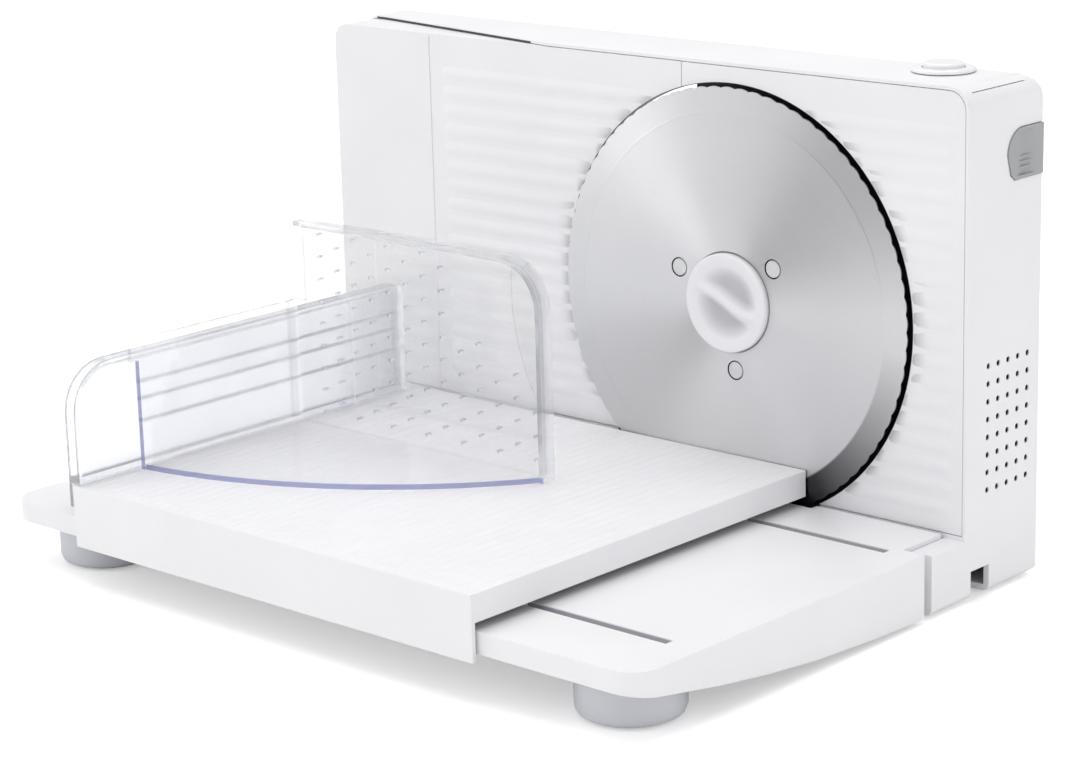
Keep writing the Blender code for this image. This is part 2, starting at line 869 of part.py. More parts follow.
    holes = [
        rod("button_hole", "Z", (button_x, button_y), housing_top - 2 * wall,
            housing_top + overrun, button_radius + 2 * clearance, white_abs, large_sides),
        rod("knob_hole", "Y", (knob_x, knob_z), housing_inner_rear - overrun,
            housing_rear + overrun, knob_shaft_radius + clearance, white_abs),
        rod("stud_hole", "Y", (blade_x, blade_z), well_back - overrun,
            well_rear + wall, stud_radius + clearance, white_abs),
        rod("lay_hole", "Y", (lay_x, lay_z), well_back - overrun, lay_boss_end + overrun,
            layshaft_radius + clearance, white_abs),
        rod("worm_bush_hole", "X", (motor_y, motor_z), lay_x - shaft_left - overrun,
            lay_x - shaft_left + wall + 2 * overrun, bush_radius + clearance, white_abs),
        box("cord_notch", (housing_right - cord_notch_depth, plate_y + cord_notch_start,
                           housing_floor - overrun),
            (housing_right + overrun, plate_y + cord_notch_start + cord_notch_width,
             housing_floor + cord_notch_height), white_abs),
        prism("catch_hole", "X", catch_outline(clearance), housing_right - wall - overrun,
              housing_right + overrun, white_abs),
    ]
    holes += [rod("guide_hole", "Y", (knob_x + side * guide_rod_spacing / 2, knob_z),
                  housing_inner_rear - guide_boss_depth - overrun,
                  housing_inner_rear + wall / 2 - clearance,
                  guide_rod_radius + clearance, white_abs, small_sides) for side in (-1, 1)]
    holes += [rod("post_hole", "Y", centre, housing_inner_rear - screw_length,
                  housing_inner_rear + overrun, screw_radius + clearance, white_abs, small_sides)
              for centre in rear_bosses()]
    holes += [rod("pin_hole", "X", (hinge_y, hinge_z), start, end, pin_radius + clearance,
                  white_abs) for start, end in pin_hole_spans()]
    cut(shell, group("housing_holes", holes, white_abs), vents())
    settle(shell)
    return smooth(shell)


lay_boss_end = motor_y - worm_wheel_face / 2 - wall
hinge_y = toe_front + pin_from_front_of_toe
hinge_z = base_top - pin_drop


def pin_hole_spans():
    """The blind holes in the toes; each ends short of the toe's outer face."""
    depth = toe_width - wall
    return ((housing_right - toe_width - overrun, housing_right - toe_width + depth),
            (housing_left + toe_width - depth, housing_left + toe_width + overrun))


def make_rear_cover():
    edge = overrun / 2 + clearance
    cover = box("rear_cover", (chute_right_x + wall + edge, housing_inner_rear,
                               housing_floor + wall + edge),
                (housing_right - wall - edge, housing_rear,
                 blade_z + rear_opening_top - clearance), white_abs)
    holes = []
    for centre in rear_bosses():
        holes.append(rod("cover_hole", "Y", centre, housing_inner_rear - overrun,
                         housing_rear + overrun, screw_radius + clearance, white_abs, small_sides))
        holes.append(rod("cover_sink", "Y", centre, housing_rear - screw_head_height - clearance,
                         housing_rear + overrun, screw_head_radius + clearance, white_abs, small_sides))
    notch = box("catch_room", (housing_right + catch_proud - 2 * catch_body,
                               housing_inner_rear - overrun, blade_z + catch_bottom - clearance),
                (housing_right, housing_rear + overrun, blade_z + catch_top + clearance), white_abs)
    cut(cover, *holes, notch)
    return cover


def make_cover_screws():
    top = housing_rear - clearance / 2
    slot_reach = screw_radius * screw_slot_share
    for number, (x, z) in enumerate(rear_bosses(), 1):
        screw = rod(f"cover_screw_{number}", "Y", (x, z), top - screw_head_height, top,
                    screw_head_radius, zinc_steel, small_sides)
        join(screw, rod("screw_shank", "Y", (x, z), top - screw_length,
                        top - screw_head_height / 2, screw_radius, zinc_steel, small_sides))
        cut(screw, box("screw_slot", (x - slot_reach, top - screw_head_height / 2,
                                      z - screw_slot_width / 2),
                       (x + slot_reach, top + overrun, z + screw_slot_width / 2), zinc_steel))
        settle(screw)


# Plates beside the blade

def rib_heights(bottom):
    """Heights of the ribs that stay above a plate's lower edge."""
    heights = [housing_top - top_rib_drop - row * rib_pitch for row in range(rib_count)]
    return [height for height in heights if height > bottom + rib_width]


def plate_ribs(name, left, right, bottom):
    """Low ribs along the food's path, with round ends."""
    ribs = []
    for height in rib_heights(bottom):
        radius = rib_width / 2
        outline = (arc((right - radius, height), radius, -90, 90, rib_end_steps)
                   + arc((left + radius, height), radius, 90, 270, rib_end_steps))
        ribs.append(prism("rib", "Y", outline, plate_y - rib_height, plate_y + rib_height,
                          white_abs))
    return group(name, ribs, white_abs)


def make_fixed_plate():
    bottom = blade_z - plate_bottom
    right = housing_right - rim_thickness - clearance
    outline = rounded(chute_right_x, bottom, right, housing_top - rim_thickness - clearance,
                      (0, housing_corner_radius - rim_thickness, 0, 0))
    plate = prism("fixed_plate", "Y", outline, plate_y, plate_y + plate_thickness, white_abs)
    join(plate, plate_ribs("fixed_ribs", chute_right_x + rib_end_margin,
                           right - rib_end_margin, bottom))
    cut(plate, rod("fixed_round", "Y", (blade_x, blade_z), plate_y - overrun,
                   plate_y + plate_thickness + overrun, well_radius, white_abs, well_sides))
    return smooth(settle(plate))


stop_plate_bottom_z = blade_z - stop_plate_bottom
stop_sheet_back = plate_y + stop_panel_proud + wall
carrier_front = stop_sheet_back + clearance
carrier_back = carrier_front + carrier_thickness


def make_stop_plate():
    left = housing_left + stop_plate_side
    top = housing_top - stop_plate_side
    right = chute_right_x - clearance
    low = stop_plate_bottom_z
    corner = housing_corner_radius - stop_plate_side
    sheet = prism("stop_plate", "Y", rounded(left, low, right, top, (0, 0, corner, 0)), plate_y,
                  plate_y + stop_flange_depth - stop_panel_proud, white_abs)
    inner = rounded(left + wall, low - overrun, right + overrun, top - wall,
                    (0, 0, corner - wall, 0))
    room = prism("flange_room", "Y", inner, stop_sheet_back, plate_y + stop_flange_depth,
                 white_abs)
    panel_left, radius = housing_left + stop_panel_left, stop_panel_radius
    margin = prism("margin", "Y",
                   [(left - overrun, low - overrun), (panel_left, low - overrun),
                    *arc((panel_left + radius, top - radius), radius, 180, 90, corner_steps),
                    (panel_left + radius, top + overrun), (left - overrun, top + overrun)],
                   plate_y - overrun, plate_y + stop_panel_proud, white_abs)
    cut(sheet, room, margin)
    settle(sheet)
    join(sheet, plate_ribs("stop_ribs", housing_left + stop_rib_left, right - rib_end_margin,
                           low))
    line_x = housing_left + stop_line_left
    cut(sheet, box("stop_line", (line_x, plate_y - overrun, low - overrun),
                   (line_x + stop_line_width, plate_y + stop_panel_proud / 2, top - wall),
                   white_abs),
        rod("stop_round", "Y", (blade_x, blade_z), plate_y - 2 * overrun,
            plate_y + stop_flange_depth, well_radius, white_abs, well_sides))
    settle(sheet)
    smooth(sheet)
    return set_origin(sheet, (knob_x, plate_y, knob_z))


# Thickness control

def make_carrier():
    """The bracket behind the stop plate: two guide tubes and the post that rides on the cam."""
    half_width, half_height = carrier_width / 2, carrier_height / 2
    carrier = box("stop_plate_carrier", (knob_x - half_width, carrier_front, knob_z - half_height),
                  (knob_x + half_width, carrier_back, knob_z + half_height), white_abs)
    radius = (cam_inner_radius + cam_outer_radius) / 2
    half = follower_width / 2
    join(carrier, box("follower", (knob_x + radius - half, carrier_back - overrun / 2, knob_z - half),
                      (knob_x + radius + half, cam_high - cam_gap, knob_z + half), white_abs))
    for side in (-1, 1):
        centre = (knob_x + side * guide_rod_spacing / 2, knob_z)
        join(carrier, rod("guide_tube", "Y", centre, carrier_back - overrun / 2,
                          carrier_back + guide_tube_length, guide_tube_radius, white_abs))
    for side in (-1, 1):
        centre = (knob_x + side * guide_rod_spacing / 2, knob_z)
        cut(carrier, rod("guide_bore", "Y", centre, carrier_front - overrun,
                         carrier_back + guide_tube_length + overrun,
                         guide_rod_radius + clearance, white_abs, small_sides))
    settle(carrier)
    smooth(carrier)
    return set_origin(carrier, (knob_x, plate_y, knob_z))


cam_back = housing_inner_rear - clearance
cam_low = cam_back - cam_base_thickness
cam_high = cam_low - stop_plate_travel


def make_guide_rods():
    start = carrier_back + stop_plate_travel - carrier_thickness + clearance
    for name, side in (("left_guide_rod", -1), ("right_guide_rod", 1)):
        rod(name, "Y", (knob_x + side * guide_rod_spacing / 2, knob_z), start,
            housing_inner_rear, guide_rod_radius, zinc_steel, small_sides)


def cam_height(angle):
    """How far back the ramp's front lies at an angle round the cam."""
    return cam_high + stop_plate_travel * max(angle, 0) / knob_turn


def make_cam():
    """A disc with a ramp that lets the stop plate come back as the knob turns."""
    cam = turned("thickness_cam", "Y", (knob_x, knob_z),
                 [(knob_shaft_radius + clearance, cam_low), (cam_outer_radius, cam_low),
                  (cam_outer_radius, cam_back), (knob_shaft_radius + clearance, cam_back)],
                 acetal)
    first, last = -cam_end_flat, knob_turn * cam_ramp_share
    step = (last - first) / cam_segments
    rings = []
    for count in range(cam_segments + 1):
        angle = first + count * step
        height = cam_height(angle)
        across = (math.cos(angle), math.sin(angle))
        corners = [(cam_inner_radius, height), (cam_outer_radius, height),
                   (cam_outer_radius, cam_low + cam_base_thickness / 2),
                   (cam_inner_radius, cam_low + cam_base_thickness / 2)]
        rings.append([(knob_x + radius * across[0], along, knob_z + radius * across[1])
                      for radius, along in corners])
    join(cam, swept("ramp", rings, acetal))
    settle(cam)
    smooth(cam)
    return set_origin(cam, (knob_x, cam_low, knob_z))


def make_knob():
    base = housing_rear + clearance
    step = math.tau / knob_grip_count
    outline = []
    for grip in range(knob_grip_count):
        for share, sunk in zip(knob_grip_shares, (0, 0, 1, 1)):
            angle = (grip + share) * step
            radius = knob_radius - sunk * knob_grip_depth
            outline.append((knob_x + radius * math.cos(angle), knob_z + radius * math.sin(angle)))
    knob = prism("thickness_knob", "Y", outline, base, base + knob_height, white_abs)
    shaft = rod("knob_shaft", "Y", (knob_x, knob_z), cam_low - clearance, base + knob_height / 2,
                knob_shaft_radius, white_abs)
    join(knob, shaft)
    pointer = box("pointer_cut", (knob_x - scale_mark_width / 2, base + knob_height - scale_mark_depth,
                                  knob_z + knob_radius / 2),
                  (knob_x + scale_mark_width / 2, base + knob_height + overrun,
                   knob_z + knob_radius + overrun), white_abs)
    cut(knob, pointer)
    settle(knob)
    smooth(knob)
    return set_origin(knob, (knob_x, housing_rear, knob_z))


def make_scale_ring():
    inner = knob_radius + 2 * clearance
    outer = inner + scale_ring_width
    front = housing_rear + clearance
    back = front + scale_ring_thickness
    ring = turned("knob_scale_ring", "Y", (knob_x, knob_z),
                  [(inner, front), (outer, front), (outer, back), (inner, back)], grey_abs)
    marks = []
    for number in range(scale_marks):
        angle = math.pi / 2 + knob_turn * number / (scale_marks - 1)
        mark = box("mark", (-scale_mark_width / 2, back - scale_mark_depth, inner + scale_mark_width),
                   (scale_mark_width / 2, back + overrun, outer - scale_mark_width), grey_abs)
        mark.data.transform(Matrix.Translation((knob_x, 0, knob_z))
                            @ Matrix.Rotation(math.pi / 2 - angle, 4, "Y"))
        marks.append(mark)
    cut(ring, group("marks", marks, grey_abs))
    return smooth(settle(ring))


def make_plate_spring():
    """The tension spring that draws the stop plate back against the cam."""
    lift = cam_outer_radius + plate_spring_radius + 2 * plate_spring_wire
    points = helix((0, 0), plate_spring_radius, carrier_back + clearance + plate_spring_wire,
                   housing_inner_rear - clearance - plate_spring_wire, plate_spring_turns)
    turned_points = [(knob_x + x, along, knob_z - lift + y) for x, y, along in points]
    print("plate spring, least gap:", round(least_gap(turned_points, plate_spring_wire), 5))
    spring = tube("plate_spring", turned_points, plate_spring_wire, spring_steel)
    return spring


# Power button, switch and thumb catch

def make_button():
    top = housing_top + button_proud
    under = housing_top - wall - clearance
    profile = [(0, top), (button_radius - button_flange_thickness / 2, top),
               (button_radius, top - button_flange_thickness / 2), (button_radius, under),
               (button_flange_radius, under), (button_flange_radius, under - button_flange_thickness),
               (button_stem_radius, under - button_flange_thickness),
               (button_stem_radius, plunger_top + button_travel + clearance),
               (0, plunger_top + button_travel + clearance)]
    button = turned("power_button", "Z", (button_x, button_y), profile, white_button)
    return set_origin(button, (button_x, button_y, housing_top))


shelf_top = housing_top - shelf_drop
switch_top = shelf_top + clearance + switch_height
plunger_top = switch_top + plunger_height


def make_bezel():
    bottom = housing_top + clearance
    top = bottom + bezel_height
    profile = [(bezel_inner_radius, top), (bezel_outer_radius - bezel_height / 2, top),
               (bezel_outer_radius, top - bezel_height / 2), (bezel_outer_radius, bottom),
               (bezel_inner_radius, bottom)]
    return turned("button_bezel", "Z", (button_x, button_y), profile, white_button)


def make_switch():
    bottom = shelf_top + clearance
    half_length, half_width = switch_length / 2, switch_width / 2
    switch = box("micro_switch", (button_x - half_length, button_y - half_width, bottom),
                 (button_x + half_length, button_y + half_width, switch_top), black_nylon)
    plunger = rod("plunger", "Z", (button_x, button_y), switch_top - overrun / 2,
                  plunger_top, plunger_radius, black_nylon, small_sides)
    terminals = [box("terminal", (button_x + place_x - wall / 2, button_y - terminal_thickness / 2,
                                  bottom + wall), (button_x + place_x + wall / 2,
                                                   button_y + terminal_thickness / 2,
                                                   bottom + 2 * wall),
                     black_nylon) for place_x in (-half_length, half_length)]
    join(switch, plunger, *terminals)
    return settle(switch)


def make_button_spring():
    under = housing_top - wall - clearance - button_flange_thickness
    points = helix((button_x, button_y), button_spring_radius,
                   switch_top + clearance + button_spring_wire,
                   under - clearance - button_spring_wire, button_spring_turns)
    print("button spring, least gap:", round(least_gap(points, button_spring_wire), 5))
    return tube("button_spring", points, button_spring_wire, spring_steel)


def make_catch():
    """The thumb catch that frees the power button when it is pushed in."""
    outer = housing_right + catch_proud
    catch = prism("safety_catch", "X", catch_outline(0), outer - catch_body, outer, grey_abs)
    flange_right = housing_right - wall - clearance
    flange = prism("catch_flange", "X", catch_outline(catch_flange),
                   flange_right - catch_flange_thickness, flange_right, grey_abs)
    trim = box("flange_trim", (flange_right - catch_body, housing_inner_rear - clearance,
                               blade_z + catch_bottom - catch_body),
               (flange_right + catch_body, housing_rear, blade_z + catch_top + catch_body),
               grey_abs)
    cut(flange, trim)
    settle(flange)
    join(catch, flange)
    settle(catch)
    middle_y = (plate_y + catch_depth_start + housing_inner_rear) / 2 + catch_flange
    scoop = rod("scoop", "Z", (outer + scoop_radius - scoop_depth, middle_y),
                blade_z + catch_bottom + catch_flange, blade_z + catch_top - catch_flange,
                scoop_radius, grey_abs, guard_sides)
    cut(catch, scoop)
    settle(catch)
    bars = []
    for number in range(catch_bar_count):
        height = blade_z + catch_bottom + catch_flange + wall + number * catch_bar_pitch
        bars.append(box("bar", (outer - catch_body / 2, middle_y - catch_bar_length / 2, height),
                        (outer - scoop_depth + catch_bar_height, middle_y + catch_bar_length / 2,
                         height + catch_bar_width), grey_abs))
    join(catch, group("grip_bars", bars, grey_abs))
    settle(catch)
    smooth(catch)
    centre_z = blade_z + (catch_bottom + catch_top) / 2
    return set_origin(catch, (housing_right, middle_y, centre_z))


# Blade

def make_blade():
    """A dished disc with a wavy edge: each tooth is a shallow scallop."""
    front = blade_y - blade_dish
    bore = cap_radius + clearance
    blank = blade_radius + blade_blank_extra
    profile = [(bore, front), (blade_flat_radius, front), (blank, blade_y),
               (blank, blade_y + blade_edge_thickness),
               (blade_flat_radius, front + blade_thickness), (bore, front + blade_thickness)]
    disc = turned("blade_disc", "Y", (blade_x, blade_z), profile, stainless, well_sides)
    outline = []
    for tooth in range(blade_tooth_count):
        for half_teeth, depth in ((0, 0), (1, blade_tooth_depth)):
            angle = math.tau * (tooth + half_teeth / 2) / blade_tooth_count
            radius = blade_radius - depth
            outline.append((blade_x + radius * math.cos(angle), blade_z + radius * math.sin(angle)))
    keep_inside(disc, prism("tooth_edge", "Y", outline, front - overrun, blade_y + overrun,
                            stainless))
    settle(disc)
    cut(disc, group("rivet_holes", [rod("rivet_hole", "Y", centre, front - overrun,
                                        blade_y + overrun, rivet_shank_radius + clearance,
                                        stainless, small_sides) for centre in rivet_centres()], stainless))
    settle(disc)
    smooth(disc, flat_shade_angle)
    return set_origin(disc, (blade_x, blade_y, blade_z))


def rivet_centres():
    angles = [first_rivet_angle + math.tau * k / rivet_count for k in range(rivet_count)]
    return [(blade_x + rivet_circle_radius * math.cos(a), blade_z + rivet_circle_radius * math.sin(a))
            for a in angles]


def make_rivets():
    seat = blade_y - blade_dish - clearance
    for number, centre in enumerate(rivet_centres(), 1):
        rivet = rod(f"blade_rivet_{number}", "Y", centre, seat - rivet_head_height, seat,
                    rivet_head_radius, stainless)
        join(rivet, rod("rivet_shank", "Y", centre, seat - rivet_head_height / 2,
                        gear_front + clearance + gear_web_thickness, rivet_shank_radius,
                        stainless, small_sides))
        settle(rivet)
        set_origin(smooth(rivet), (blade_x, blade_y, blade_z))


def make_blade_gear():
    """The toothed ring riveted behind the blade, with its bearing hub."""
    back = gear_front + gear_face
    ring = prism("blade_gear", "Y",
                 gear_outline((blade_x, blade_z), gear_module, blade_gear_teeth,
                              drive_angle + math.pi / blade_gear_teeth),
                 gear_front, back, acetal)
    bore = rod("gear_bore", "Y", (blade_x, blade_z), gear_front - overrun, back + overrun,
               stud_radius + clearance, acetal)
    seat = rod("lock_seat", "Y", (blade_x, blade_z), gear_front - overrun,
               gear_front + cap_boss_depth, cap_boss_radius + clearance, acetal, large_sides)
    rivet_bores = [rod("rivet_bore", "Y", centre, gear_front - overrun,
                       back + overrun, rivet_shank_radius + clearance, acetal, small_sides)
                   for centre in rivet_centres()]
    cut(ring, bore, seat, *rivet_bores)
    settle(ring)
    smooth(ring)
    return set_origin(ring, (blade_x, gear_front, blade_z))


def make_cap():
    """The lock in the blade's middle, with a finger ridge across its dished face."""
    front = blade_y - blade_dish - cap_proud
    back = blade_y - blade_dish + blade_thickness
    dish = cap_proud * cap_dish_share
    profile = [(0, front + dish), (cap_radius * cap_dish_flat_share, front + dish * cap_dish_edge_share),
               (cap_radius - cap_proud / 2, front), (cap_radius, front + cap_edge),
               (cap_radius, back), (cap_boss_radius, back),
               (cap_boss_radius, gear_front + cap_boss_depth - clearance),
               (0, gear_front + cap_boss_depth - clearance)]
    cap = turned("blade_lock", "Y", (blade_x, blade_z), profile, white_abs)
    half = cap_ridge_length / 2
    wave = cap_ridge_width / 2
    upper, lower = [], []
    for count in range(cap_ridge_steps + 1):
        along = -half + cap_ridge_length * count / cap_ridge_steps
        bend = wave * math.sin(math.tau * count / cap_ridge_steps)
        slim = cap_ridge_width / 2 * (1 - (abs(along) / half) ** 2 / 2)
        upper.append((blade_x + along, blade_z + bend + slim))
        lower.append((blade_x + along, blade_z + bend - slim))
    ridge = prism("finger_ridge", "Y", upper + lower[::-1], front, front + dish + overrun / 2,
                  white_abs)
    join(cap, ridge)
    settle(cap)
    smooth(cap)
    return set_origin(cap, (blade_x, front, blade_z))


def make_stud():
    """The fixed stud in the well's back wall that the blade gear runs on."""
    tip = gear_front + cap_boss_depth + clearance
    stud = rod("spindle_stud", "Y", (blade_x, blade_z), tip, well_rear + wall - clearance,
               stud_radius, zinc_steel)
    collar_back = well_back - clearance
    join(stud, rod("stud_collar", "Y", (blade_x, blade_z), gear_front + gear_face + clearance,
                   collar_back, stud_flange_radius, zinc_steel))
    return smooth(settle(stud))


# Drive train

def make_pinion():
    back = gear_front + gear_face
    pinion = prism("drive_pinion", "Y",
                   gear_outline((lay_x, lay_z), gear_module, pinion_teeth, drive_angle + math.pi),
                   gear_front, back, brass)
    cut(pinion, rod("pinion_bore", "Y", (lay_x, lay_z), gear_front - overrun, back + overrun,
                    layshaft_radius + clearance / 2, brass, small_sides))
    settle(pinion)
    return set_origin(smooth(pinion), (lay_x, gear_front, lay_z))


def make_layshaft():
    shaft = rod("layshaft", "Y", (lay_x, lay_z), gear_front, motor_y + worm_wheel_face / 2 + wall,
                layshaft_radius, zinc_steel, small_sides)
    return set_origin(shaft, (lay_x, gear_front, lay_z))


def make_worm_wheel():
    front, back = motor_y - worm_wheel_face / 2, motor_y + worm_wheel_face / 2
    wheel = prism("worm_wheel", "Y",
                  gear_outline((lay_x, lay_z), worm_wheel_module, worm_wheel_teeth,
                               -math.pi / 2 + math.pi / worm_wheel_teeth),
                  front, back, acetal)
    cut(wheel, rod("wheel_bore", "Y", (lay_x, lay_z), front - overrun, back + overrun,
                   layshaft_radius + clearance / 2, acetal, small_sides))
    settle(wheel)
    return set_origin(smooth(wheel), (lay_x, motor_y, lay_z))


worm_lead = math.pi * worm_wheel_module


def make_armature_shaft():
    """The motor's shaft with the worm's thread wound round its left end."""
    left, right = lay_x - shaft_left, lay_x + shaft_right
    shaft = rod("armature_shaft", "X", (motor_y, motor_z), left, right, shaft_radius,
                zinc_steel)
    worm_start, worm_end = lay_x - worm_length / 2, lay_x + worm_length / 2
    root = rod("worm_root", "X", (motor_y, motor_z), worm_start, worm_end, worm_root_radius,
               zinc_steel)
    join(shaft, root)
    turns = int(worm_length / worm_lead) - 1
    count = turns * worm_points_per_turn
    rings = []
    low = worm_root_radius - clearance
    root_half, tip_half = worm_thread_root_width / 2, worm_thread_tip_width / 2
    ring = [(low, -root_half), (worm_tip_radius, -tip_half), (worm_tip_radius, tip_half),
            (low, root_half)]
    for point in range(count + 1):
        turn = math.tau * (point - count / 2) / worm_points_per_turn
        along = lay_x + worm_lead * (point - count / 2) / worm_points_per_turn
        rings.append([(along + shift, motor_y + radius * math.sin(turn),
                       motor_z + radius * math.cos(turn)) for radius, shift in ring])
    join(shaft, swept("worm_thread", rings, zinc_steel))
    settle(shaft)
    return set_origin(smooth(shaft), (lay_x, motor_y, motor_z))


motor_left = lay_x + motor_start
motor_right = motor_left + motor_length


def make_rotor_core():
    """The slotted steel core with its commutator, pressed on the shaft."""
    start = motor_left + (motor_length - core_length) / 2 - motor_wall
    end = start + core_length
    bore = shaft_radius + clearance / 2
    core = turned("rotor_core", "X", (motor_y, motor_z),
                  [(bore, end + commutator_length), (commutator_radius, end + commutator_length),
                   (commutator_radius, end), (core_radius, end), (core_radius, start),
                   (bore, start)], lamination)
    slots = []
    for number in range(core_slots):
        slot = box("slot", (start - overrun, -core_slot_width / 2, core_slot_floor),
                   (end + overrun, core_slot_width / 2, core_radius + overrun), lamination)
        slot.data.transform(Matrix.Translation((0, motor_y, motor_z))
                            @ Matrix.Rotation(math.tau * number / core_slots, 4, "X"))
        slots.append(slot)
    cut(core, group("core_slots", slots, lamination))
    settle(core)
    return set_origin(smooth(core), (lay_x, motor_y, motor_z))


def make_fan():
    start = lay_x + fan_place
    end = start + fan_width
    fan = turned("cooling_fan", "X", (motor_y, motor_z),
                 [(shaft_radius + clearance / 2, end), (fan_hub_radius, end),
                  (fan_hub_radius, start + fan_disc_thickness),
                  (fan_radius, start + fan_disc_thickness), (fan_radius, start),
                  (shaft_radius + clearance / 2, start)], black_nylon)
    blades = []
    for number in range(fan_blades):
        blade = box("fan_blade", (start + fan_disc_thickness / 2, -fan_blade_thickness / 2,
                                  fan_hub_radius - clearance),
                    (end - clearance, fan_blade_thickness / 2, fan_radius - clearance),
                    black_nylon)
        blade.data.transform(Matrix.Translation((0, motor_y, motor_z))
                             @ Matrix.Rotation(math.tau * number / fan_blades, 4, "X"))
        blades.append(blade)
    join(fan, group("fan_blades", blades, black_nylon))
    settle(fan)
    return set_origin(smooth(fan), (lay_x, motor_y, motor_z))


def make_motor_case():
    """The motor's steel can: closed on the worm's side, open towards the fan."""
    opening = shaft_radius + 2 * clearance
    inner = motor_radius - motor_wall
    profile = [(inner, motor_right), (motor_radius, motor_right), (motor_radius, motor_left),
               (bush_radius + clearance, motor_left), (bush_radius + clearance, motor_left + motor_wall),
               (inner, motor_left + motor_wall)]
    case = turned("motor_case", "X", (motor_y, motor_z), profile, zinc_steel)
    window = box("case_window", (motor_left + case_window_start, motor_y - motor_radius - overrun,
                                 motor_z - opening),
                 (motor_left + case_window_start + case_window_length,
                  motor_y + motor_radius + overrun, motor_z + opening), zinc_steel)
    cut(case, window)
    settle(case)
    return smooth(case)


def make_field_magnets():
    """The two curved magnets that line the can."""
    outer = motor_radius - motor_wall - clearance
    inner = core_radius + 2 * clearance
    start = motor_left + (motor_length - core_length) / 2 - motor_wall
    for name, low, high in (("upper_magnet", -motor_radius, wall),
                            ("lower_magnet", -wall, motor_radius)):
        magnet = turned(name, "X", (motor_y, motor_z),
                        [(inner, start + core_length), (outer, start + core_length),
                         (outer, start), (inner, start)], lamination)
        cut(magnet, box("magnet_gap", (start - overrun, motor_y - motor_radius, motor_z + low),
                        (start + core_length + overrun, motor_y + motor_radius, motor_z + high),
                        lamination))
        smooth(settle(magnet))


def make_end_cap():
    """The brush holder that closes the can on the fan's side."""
    inner = motor_radius - motor_wall - clearance
    start = motor_right - 2 * motor_wall
    end = motor_right + clearance
    profile = [(bush_radius + clearance, end + motor_wall), (motor_radius, end + motor_wall),
               (motor_radius, end), (inner, end), (inner, start), (bush_radius + clearance, start)]
    return turned("motor_end_cap", "X", (motor_y, motor_z), profile, black_nylon)


def make_bushes():
    """Sintered bushes at the worm's tip and at both ends of the motor."""
    bore = shaft_radius + clearance / 2
    for name, start in (("worm_bush", lay_x - shaft_left), ("motor_left_bush", motor_left - clearance),
                        ("motor_right_bush", motor_right - 2 * motor_wall)):
        first = start - bush_proud
        turned(name, "X", (motor_y, motor_z),
               [(bore, first + bush_length), (bush_radius, first + bush_length),
                (bush_radius, first), (bore, first)], bronze, round_sides)


def make_cradle():
    """The saddle on the housing's floor that the motor lies in."""
    middle = (motor_left + motor_right) / 2
    cradle = box("motor_cradle", (middle - cradle_length / 2, motor_y - cradle_width / 2,
                                  housing_floor + wall + clearance),
                 (middle + cradle_length / 2, motor_y + cradle_width / 2,
                  motor_z - motor_radius / 2), white_abs)
    cut(cradle, rod("cradle_round", "X", (motor_y, motor_z), motor_left, motor_right,
                    motor_radius + clearance, white_abs, large_sides))
    return settle(cradle)


# Folding base

def base_side(front, rear, top):
    """The base's side outline: a thin front edge and a curved underside that deepens."""
    low = base_top - base_rear_thickness
    front_low = base_top - base_front_thickness
    under = [(front + share * (rear - front), front_low + (low - front_low) * fall)
             for share, fall in base_curve_shares]
    return [(front, top), *under, (rear, low), (rear, top)]


def base_plan(inset):
    """The base seen from above: full width in front, narrower between the two toes."""
    left, right = housing_left + inset, housing_right - inset
    inner_left = housing_left + toe_width + clearance + inset
    inner_right = housing_right - toe_width - clearance - inset
    step = toe_front - base_arm_gap - inset
    front = base_front + inset
    rear = base_rear - inset
    radius = base_corner_radius - inset
    return [*arc((right - radius, front + radius), radius, -90, 0, corner_steps), (right, step),
            (inner_right, step), (inner_right, rear), (inner_left, rear), (inner_left, step),
            (left, step), *arc((left + radius, front + radius), radius, 180, 270, corner_steps)]


def make_base():
    tall = base_rear_thickness + overrun
    base = prism("base_plate", "Z", base_plan(0), base_top - tall, base_top, white_abs)
    keep_inside(base, prism("base_curve", "X",
                            base_side(base_front - overrun, base_rear + overrun,
                                      base_top + overrun),
                            housing_left - overrun, housing_right + overrun, white_abs))
    settle(base)
    room = prism("base_room", "Z", base_plan(base_wall), base_top - tall - overrun,
                 base_top - base_skin, white_abs)
    cut(base, room)
    settle(base)
    grooves = [box("groove", (housing_left + groove_left, blade_y - reach - groove_width / 2,
                              base_top - groove_depth),
                   (housing_right - groove_right, blade_y - reach + groove_width / 2,
                    base_top + overrun), white_abs)
               for reach in (groove_front_reach, groove_rear_reach)]
    notch = rod("base_notch", "Y", (blade_x, blade_z), blade_y - carriage_back_reach - wall,
                base_rear + overrun, well_radius, white_abs, guard_sides)
    pin_holes = [rod("pin_bore", "X", (hinge_y, hinge_z), start, end, pin_radius + clearance,
                     white_abs)
                 for start, end in ((housing_right - toe_width - 2 * base_wall - overrun, housing_right),
                                    (housing_left, housing_left + toe_width + 2 * base_wall + overrun))]
    cut(base, *grooves, notch, *pin_holes)
    return smooth(settle(base))


def make_hinge_pins():
    depth = toe_width - wall - clearance
    right_end = housing_right - toe_width + depth
    left_end = housing_left + toe_width - depth
    rod("right_hinge_pin", "X", (hinge_y, hinge_z), right_end - pin_length, right_end,
        pin_radius, zinc_steel)
    rod("left_hinge_pin", "X", (hinge_y, hinge_z), left_end, left_end + pin_length,
        pin_radius, zinc_steel)


def foot_centres():
    y = blade_y - foot_reach
    return {"right": (housing_right - foot_from_right, y), "left": (housing_left + foot_from_left, y)}


